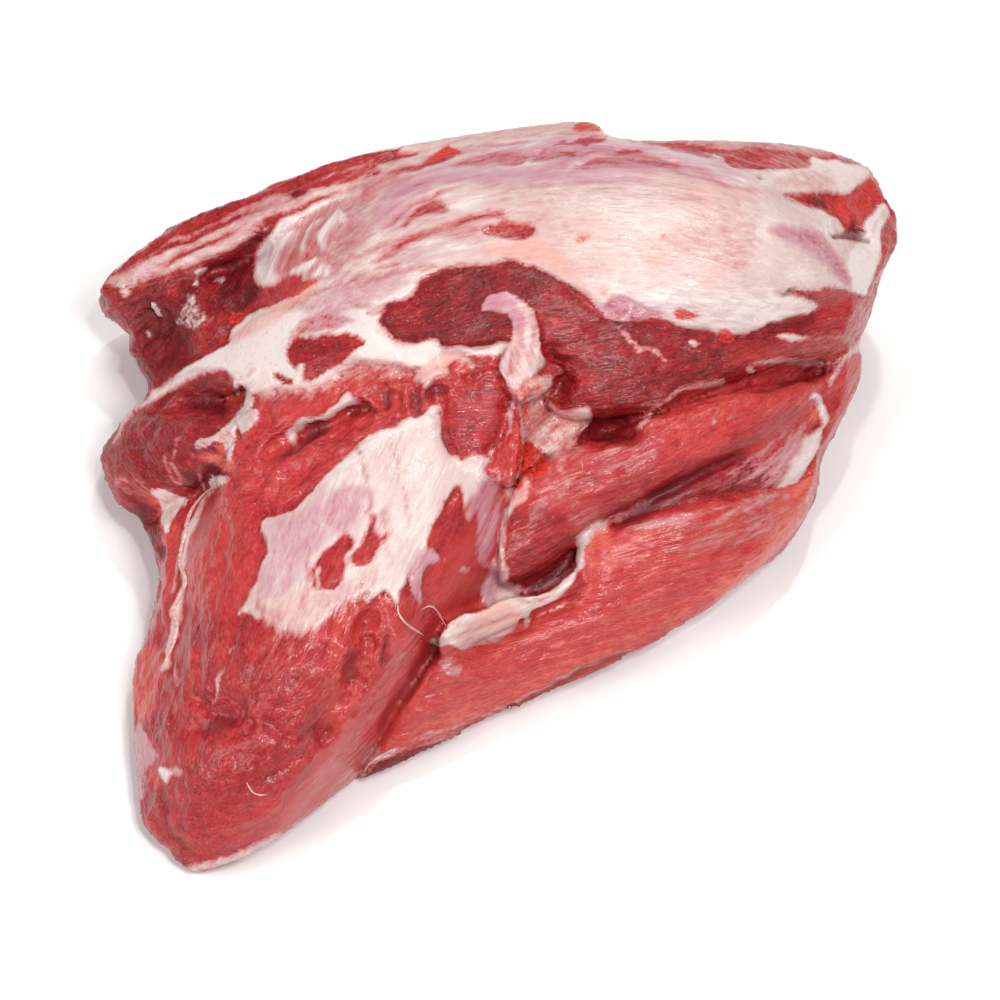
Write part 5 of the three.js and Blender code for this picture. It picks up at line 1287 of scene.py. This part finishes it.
STRAND_STEP = 1.4
STRAND_SIDES = 6
STRAND_FLATNESS = 0.7
STRAND_TIP, STRAND_UNEVEN, STRAND_RISE = 0.15, (0.75, 1.25), 0.25
WOBBLE_LUMPS, WOBBLE_U, WOBBLE_V = (6, 6, 6), 0.5, -0.4
LONGEST_DROP = 7
FEWEST_STATIONS = 4


def open_curve(path, step):
    """Points a step apart on a smooth curve through the path."""
    knots = points_of(path)
    knots = np.vstack([2 * knots[0] - knots[1], knots, 2 * knots[-1] - knots[-2]])
    curve = []
    for a, b, c, d in zip(knots, knots[1:], knots[2:], knots[3:]):
        count = max(2, int(np.hypot(*(c - b)) / step))
        share = (np.arange(count) / count)[:, None]
        curve.append(0.5 * (2 * b + (c - a) * share + (2 * a - 5 * b + 4 * c - d) * share**2
                            + (3 * b - a - 3 * c + d) * share**3))
    return np.vstack([*curve, knots[-2:-1]])


def seen_from_eye(tree, u, v):
    """Where the line of sight through a point of the sheet meets the meat, and the normal there."""
    eye = Vector((0, -SIGHT_LENGTH * SIGHT_ACROSS, SHEET_HEIGHT + SIGHT_LENGTH * SIGHT_DOWN))
    aim = Vector((u, v * SIGHT_DOWN, SHEET_HEIGHT + v * SIGHT_ACROSS)) - eye
    place, normal, *_ = tree.ray_cast(eye, aim)
    return place, normal


def strand_tube(stations, normals, half_width):
    """A flattened tube with closed ends, half sunk in the meat."""
    count = len(stations)
    ahead = np.gradient(stations, axis=0)
    ahead /= np.linalg.norm(ahead, axis=1)[:, None] + 1e-9
    aside = np.cross(ahead, normals)
    aside /= np.linalg.norm(aside, axis=1)[:, None] + 1e-9
    up = np.cross(aside, ahead)
    share = np.linspace(0, 1, count)
    width = half_width * (STRAND_TIP + (1 - STRAND_TIP) * np.sin(np.pi * share) ** 0.5)
    width = width * rng.uniform(*STRAND_UNEVEN, count)
    angles = np.arange(STRAND_SIDES) * 2 * np.pi / STRAND_SIDES
    rings = (stations[:, None] + STRAND_RISE * (width[:, None] * up)[:, None]
             + width[:, None, None] * (np.cos(angles)[None, :, None] * aside[:, None]
                                       + STRAND_FLATNESS * np.sin(angles)[None, :, None] * up[:, None]))
    faces = []
    for n in range(count - 1):
        for m in range(STRAND_SIDES):
            a, b = n * STRAND_SIDES + m, n * STRAND_SIDES + (m + 1) % STRAND_SIDES
            faces.append((a, b, b + STRAND_SIDES, a + STRAND_SIDES))
    faces.append(tuple(range(STRAND_SIDES))[::-1])
    faces.append(tuple(range((count - 1) * STRAND_SIDES, count * STRAND_SIDES)))
    return rings.reshape(-1, 3), faces


def make_strands(points, quads, centre):
    tree = BVHTree.FromPolygons(points.tolist(), quads.tolist())
    vertices, faces = [], []
    for half_width, path in STRANDS.values():
        curve = open_curve(path, STRAND_STEP)
        wobble = rough(np.column_stack([curve, np.zeros(len(curve))]), WOBBLE_LUMPS, 2)
        hits = [seen_from_eye(tree, u + WOBBLE_U * w, v + WOBBLE_V * w)
                for (u, v), w in zip(curve, wobble)]
        runs, last = [[]], None
        for place, normal in hits:
            broken = place is None or (last is not None and (place - last).length > LONGEST_DROP)
            if broken:
                runs.append([])
            if place is not None:
                runs[-1].append((place, normal))
            last = place
        for run in runs:
            if len(run) < FEWEST_STATIONS:
                continue
            stations = np.array([place[:] for place, _ in run])
            normals = np.array([normal[:] for _, normal in run])
            for _ in range(2):
                stations[1:-1] = (stations[:-2] + 2 * stations[1:-1] + stations[2:]) / 4
                normals[1:-1] = (normals[:-2] + 2 * normals[1:-1] + normals[2:]) / 4
            tube, sides = strand_tube(stations, normals, half_width)
            start = sum(len(part) for part in vertices)
            vertices.append(tube)
            faces += [tuple(start + n for n in face) for face in sides]
    vertices = np.vstack(vertices)
    placed = vertices.copy()
    placed[:, :2] -= centre
    mesh = bpy.data.meshes.new("sinew_strands")
    mesh.from_pydata((placed * MM).tolist(), [], faces)
    mesh.update()
    mesh.polygons.foreach_set("use_smooth", np.ones(len(mesh.polygons), bool))
    grain = vertices.astype(np.float32).ravel()
    mesh.attributes.new("grain", "FLOAT_VECTOR", "POINT").data.foreach_set("vector", grain)
    piece = bpy.data.objects.new("sinew_strands", mesh)
    bpy.context.scene.collection.objects.link(piece)
    return piece


# ---- materials -----------------------------------------------------------------------------------------


def linear(code):
    """An sRGB hex colour as linear red, green, blue and alpha."""
    parts = [int(code[n:n + 2], 16) / 255 for n in (1, 3, 5)]
    return [p / 12.92 if p <= 0.04045 else ((p + 0.055) / 1.055) ** 2.4 for p in parts] + [1.0]


def add(tree, kind, inputs=None, out=0, **settings):
    """Adds a node with its settings, fills or links its inputs, and returns one output."""
    node = tree.nodes.new("ShaderNode" + kind)
    for name, value in settings.items():
        setattr(node, name, value)
    for key, value in (inputs or {}).items():
        if isinstance(value, bpy.types.NodeSocket):
            tree.links.new(value, node.inputs[key])
        else:
            node.inputs[key].default_value = value
    return node.outputs[out]


LEAN_COLOURS = [
    (0.0, "#5c0e12"), (0.16, "#761318"), (0.32, "#90181d"), (0.48, "#a72528"), (0.64, "#b63332"),
    (0.80, "#c0413a"), (1.0, "#cd6251")]
SILVERSKIN_COLOURS = [
    (0.12, "#9f2b2d"), (0.32, "#b65d5a"), (0.50, "#bd7f7e"), (0.66, "#c69894"), (0.80, "#ccaca6"),
    (0.92, "#d2bcb5"), (1.05, "#ddcec8")]
FAT_COLOURS = [(0.15, "#c48b84"), (0.5, "#cfb1ab"), (0.85, "#dacfcb")]
BLOOD_COLOURS = [(0.30, "#a3120d"), (0.75, "#d63a28")]
SINEW_COLOURS = [(0.3, "#c07b74"), (0.5, "#d19f96"), (0.7, "#dfc0b7")]
SINEW_NOISE = (7, 2, 5, 2)
PEACH, LILAC = "#dd9484", "#ba889b"
# the colours of pale flecks, partly painted glints; of painted shade in holes and creases; and of the board
FLECK_AND_GLINT, HOLE_SHADE, LAMINATE = "#e2a49a", "#4a0d0e", "#f4f3f2"
MEAT_IOR, WATER_IOR = 1.36, 1.33


def new_material(name):
    material = bpy.data.materials.new(name)
    material.use_nodes = True
    material.node_tree.nodes.clear()
    return material, material.node_tree


def finish_material(tree, inputs):
    surface = add(tree, "BsdfPrincipled", inputs)
    output = tree.nodes.new("ShaderNodeOutputMaterial")
    tree.links.new(surface, output.inputs["Surface"])


def fibre_noise(tree, grain, along, across, seed, detail):
    """Noise drawn out along the grain, from 0 to 1: along and across are its sizes in millimetres."""
    sizes = (1 / along, 1 / across, 1 / across)
    place = add(tree, "VectorMath", {0: grain, 1: sizes}, operation="MULTIPLY")
    place = add(tree, "VectorMath", {0: place, 1: (seed, seed, seed)}, operation="ADD")
    return add(tree, "TexNoise", {"Vector": place, "Scale": 1.0, "Detail": detail, "Roughness": 0.55})


def weigh(tree, start, *terms):
    """start plus each (value from 0 to 1, weight), with the value centred on a half."""
    total = start
    for value, weight in terms:
        centred = add(tree, "Math", {0: value, 1: 0.5}, operation="SUBTRACT")
        total = add(tree, "Math", {0: centred, 1: weight, 2: total}, operation="MULTIPLY_ADD")
    return total


def ramp_colour(tree, value, stops):
    output = add(tree, "ValToRGB", {"Fac": value})
    elements = output.node.color_ramp.elements
    while len(elements) < len(stops):
        elements.new(0.5)
    for element, (place, code) in zip(elements, stops):
        element.position = place
        element.color = linear(code)
    return output


def layer(tree, share, under, over):
    return add(tree, "Mix", {0: share, 6: under, 7: over}, out=2, data_type="RGBA")


def threshold(tree, value, low, high, top=1.0):
    return add(tree, "MapRange", {"Value": value, "From Min": low, "From Max": high, "To Max": top},
               interpolation_type="SMOOTHSTEP")


def times(tree, a, b):
    return add(tree, "Math", {0: a, 1: b}, operation="MULTIPLY")


# The beef's patterns: sizes along and across the grain in millimetres, place in the noise, detail.
# Real muscle fibres are 0.1 mm thick, too fine to show, so they are drawn as bundles of 1 mm.
BEEF_NOISES = {
    "fibres": (9, 1.0, 3, 3), "bundles": (30, 3.6, 11, 2), "mottle": (20, 13, 29, 3),
    "ragged": (8, 1.8, 41, 3), "broad": (90, 9, 57, 2), "streaks": (60, 2.4, 63, 3),
    "threads": (30, 0.8, 77, 2), "crumbs": (2.0, 1.2, 83, 3), "specks": (2.0, 0.9, 97, 1),
    "cloud": (34, 22, 111, 2), "clumps": (6, 3.6, 131, 3),
}


def raw_beef():
    """Raw beef: wet muscle under silverskin and fat. The lean is dark and glossy with a fine grain,
    the silverskin lets it through where it is thin and is streaked, the fat is cream and lumpy."""
    material, tree = new_material("raw_beef")
    grain = add(tree, "Attribute", attribute_name="grain", out="Vector")
    zone = {name: add(tree, "Attribute", attribute_name=name, out="Fac")
            for name in ("veil", "warmth", "tone", "fat", "blood", "dark", "film", "streaks", "crags")}
    fibres, bundles, mottle, ragged, broad, streaks, threads, crumbs, specks, cloud, clumps = (
        fibre_noise(tree, grain, *noise) for noise in BEEF_NOISES.values())
    rough_lean = add(tree, "Math", {0: 1.0, 1: times(tree, zone["film"], 0.75)}, operation="SUBTRACT")

    shade = weigh(tree, zone["tone"], (mottle, 0.50), (bundles, 0.35))
    fine = weigh(tree, 0.0, (fibres, 0.50), (crumbs, 0.65), (clumps, 0.55))
    shade = add(tree, "Math", {0: fine, 1: rough_lean, 2: shade}, operation="MULTIPLY_ADD")
    lean = ramp_colour(tree, shade, LEAN_COLOURS)
    # pale flecks, partly specks of fat and sinew and partly painted glints where the wet lean catches the
    # light
    flecks_and_glints = times(tree, threshold(tree, specks, 0.64, 0.80, 0.40), rough_lean)
    flecks_and_glints = times(tree, flecks_and_glints, threshold(tree, cloud, 0.40, 0.62))
    lean = layer(tree, flecks_and_glints, lean, linear(FLECK_AND_GLINT))

    wave = weigh(tree, 0.0, (broad, 0.60), (streaks, 0.95), (threads, 0.30))
    wave = times(tree, wave, zone["streaks"])
    wave = weigh(tree, wave, (cloud, 0.40), (mottle, 0.25), (crumbs, 0.12))
    # thickness noise fades out where there is no silverskin at all
    present = add(tree, "MapRange", {"Value": zone["veil"], "From Min": 0.02, "From Max": 0.25})
    veil = add(tree, "Math", {0: wave, 1: present, 2: zone["veil"]}, operation="MULTIPLY_ADD")
    # its edges are torn: noise counts most where the thickness is in between
    gap = add(tree, "Math", {0: 1.0, 1: zone["veil"]}, operation="SUBTRACT", use_clamp=True)
    torn = times(tree, times(tree, zone["veil"], gap), 4.0)
    torn_least = add(tree, "MapRange", {"Value": zone["streaks"], "To Min": 1.0, "To Max": 0.25})
    torn = times(tree, torn, torn_least)
    tear = weigh(tree, 0.0, (ragged, 1.1), (crumbs, 0.5))
    veil = add(tree, "Math", {0: tear, 1: torn, 2: veil}, operation="MULTIPLY_ADD")
    silver = ramp_colour(tree, veil, SILVERSKIN_COLOURS)
    peach = add(tree, "MapRange", {"Value": weigh(tree, zone["warmth"], (mottle, 1.5), (ragged, 1.2)),
                                   "From Min": 0.15, "From Max": 1.3, "To Max": 0.80})
    silver = layer(tree, peach, silver, linear(PEACH))
    lilac = add(tree, "MapRange", {"Value": weigh(tree, zone["warmth"], (broad, 1.2), (streaks, 1.4)),
                                   "From Min": -0.15, "From Max": -1.3, "To Max": 0.70})
    silver = layer(tree, lilac, silver, linear(LILAC))
    veil_share = threshold(tree, veil, 0.06, 0.40)
    colour = layer(tree, veil_share, lean, silver)

    def spread(name, noise, amount, soft):
        """A zone's share with a ragged edge."""
        return threshold(tree, weigh(tree, zone[name], (noise, amount)), 0.5 - soft, 0.5 + soft)

    lumpy = weigh(tree, 0.5, (ragged, 1.0), (crumbs, 0.25))
    fat_share = spread("fat", lumpy, 1.1, 0.25)
    fat = ramp_colour(tree, weigh(tree, 0.5, (mottle, 1.3), (crumbs, 0.9)), FAT_COLOURS)
    colour = layer(tree, fat_share, colour, fat)
    blood_share = spread("blood", crumbs, 1.6, 0.40)
    blood = ramp_colour(tree, weigh(tree, 0.5, (crumbs, 1.5)), BLOOD_COLOURS)
    colour = layer(tree, blood_share, colour, blood)
    # painted shade: holes and deep creases are darkened towards near black
    hole_shade_share = times(tree, weigh(tree, zone["dark"], (crumbs, 0.3)), 0.85)
    colour = layer(tree, hole_shade_share, colour, linear(HOLE_SHADE))

    pale = add(tree, "Math", {0: add(tree, "MapRange", {"Value": veil, "From Min": 0.2, "From Max": 0.7}),
                              1: fat_share}, operation="MAXIMUM")
    rough_mean = add(tree, "MapRange", {"Value": pale, "To Min": 0.44, "To Max": 0.46})
    roughness = weigh(tree, rough_mean, (mottle, 0.25), (crumbs, 0.25))
    lean_height = weigh(tree, 0.0, (fibres, 0.35), (crumbs, 0.50), (bundles, 0.9), (clumps, 0.8))
    lean_height = times(tree, lean_height, rough_lean)
    skin_height = weigh(tree, 0.1, (streaks, 0.24), (threads, 0.08), (crumbs, 0.12), (ragged, 0.25))
    height = add(tree, "Mix", {0: pale, 2: lean_height, 3: skin_height}, data_type="FLOAT")
    normal = add(tree, "Bump", {"Strength": 1.0, "Distance": MM, "Height": height})
    wet_height = weigh(tree, 0.0, (bundles, 0.9), (fibres, 0.20), (ragged, 0.30), (clumps, 0.7))
    # the darkest lean and the creases are drier than the rest
    lightness = add(tree, "Math", {0: zone["tone"], 1: pale}, operation="MAXIMUM")
    wetness = add(tree, "MapRange", {"Value": lightness, "From Min": 0.15, "From Max": 0.5,
                                     "To Min": 0.22, "To Max": 0.9})
    wetness = add(tree, "Math", {0: zone["dark"], 1: -0.6, 2: wetness}, operation="MULTIPLY_ADD",
                  use_clamp=True)
    wet_normal = add(tree, "Bump", {"Strength": 1.0, "Distance": MM, "Height": wet_height})
    finish_material(tree, {
        "Base Color": colour, "Roughness": roughness, "Normal": normal, "IOR": MEAT_IOR,
        "Subsurface Weight": 0.08, "Subsurface Radius": (1.0, 0.32, 0.2), "Subsurface Scale": 0.003,
        "Coat Weight": wetness, "Coat Roughness": 0.10, "Coat IOR": WATER_IOR, "Coat Normal": wet_normal,
    })
    return material


def pale_sinew():
    """Thin wet strands of sinew and fat."""
    material, tree = new_material("pale_sinew")
    place = add(tree, "Attribute", attribute_name="grain", out="Vector")
    mottle = fibre_noise(tree, place, *SINEW_NOISE)
    colour = ramp_colour(tree, mottle, SINEW_COLOURS)
    finish_material(tree, {"Base Color": colour, "Roughness": 0.42, "Coat Weight": 0.3,
                           "Coat Roughness": 0.12, "Coat IOR": WATER_IOR})
    return material


def pale_board():
    """The plain pale board under the meat: matt white laminate."""
    material, tree = new_material("pale_board")
    finish_material(tree, {"Base Color": linear(LAMINATE), "Roughness": 0.7})
    return material


# ---- stage -----------------------------------------------------------------------------------------------

FLOOR_SIZE, FLOOR_DROP = 6.0, 0.0002
SENSOR = 36.0
LENS = 112.0
# Each light, a disk aimed at the meat: place and width in metres, power in watts.
LIGHTS = {
    "key": ((0.55, -0.75, 1.35), 0.55, 15),
    "fill": ((-1.05, -0.55, 1.05), 0.9, 11),
    "back": ((0.15, 1.05, 1.15), 0.7, 5),
    "spark": ((0.25, 0.75, 1.45), 0.10, 5),
    "front_spark": ((0.25, -0.60, 1.55), 0.10, 5),
}
LIGHT_TARGET = Vector((0, 0, 0.04))
STUDIO_GLOW = 0.22


def make_stage(centre):
    bpy.ops.mesh.primitive_plane_add(size=FLOOR_SIZE, location=(0, 0, -FLOOR_DROP))
    floor = bpy.context.object
    floor.name = "floor"
    floor.data.materials.append(pale_board())

    shift = Vector((-centre[0] * MM, -centre[1] * MM, 0))
    target = Vector((0, 0, SHEET_HEIGHT * MM)) + shift
    eye = target + Vector((0, -SIGHT_ACROSS, SIGHT_DOWN)) * SIGHT_LENGTH * MM
    camera = bpy.data.objects.new("camera", bpy.data.cameras.new("camera"))
    camera.data.sensor_width = SENSOR
    camera.data.lens = LENS
    camera.location = eye
    camera.rotation_euler = (target - eye).to_track_quat("-Z", "Y").to_euler()
    bpy.context.scene.collection.objects.link(camera)
    bpy.context.scene.camera = camera

    for name, (place, size, power) in LIGHTS.items():
        light = bpy.data.objects.new(name, bpy.data.lights.new(name, "AREA"))
        light.data.shape = "DISK"
        light.data.size = size
        light.data.energy = power
        light.location = place
        light.rotation_euler = (LIGHT_TARGET - light.location).to_track_quat("-Z", "Y").to_euler()
        bpy.context.scene.collection.objects.link(light)

    world = bpy.data.worlds.new("studio")
    world.use_nodes = True
    background = world.node_tree.nodes["Background"]
    background.inputs["Color"].default_value = (1, 1, 1, 1)
    background.inputs["Strength"].default_value = STUDIO_GLOW
    bpy.context.scene.world = world
    bpy.context.scene.view_settings.view_transform = "Standard"


topside, skin_points, skin_quads, centre = make_topside()
topside.data.materials.append(raw_beef())
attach(topside, "root")
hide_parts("topside")

sinew = make_strands(skin_points, skin_quads, centre)
sinew.data.materials.append(pale_sinew())
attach(sinew, "root")

make_stage(centre)

bpy.context.view_layer.update()
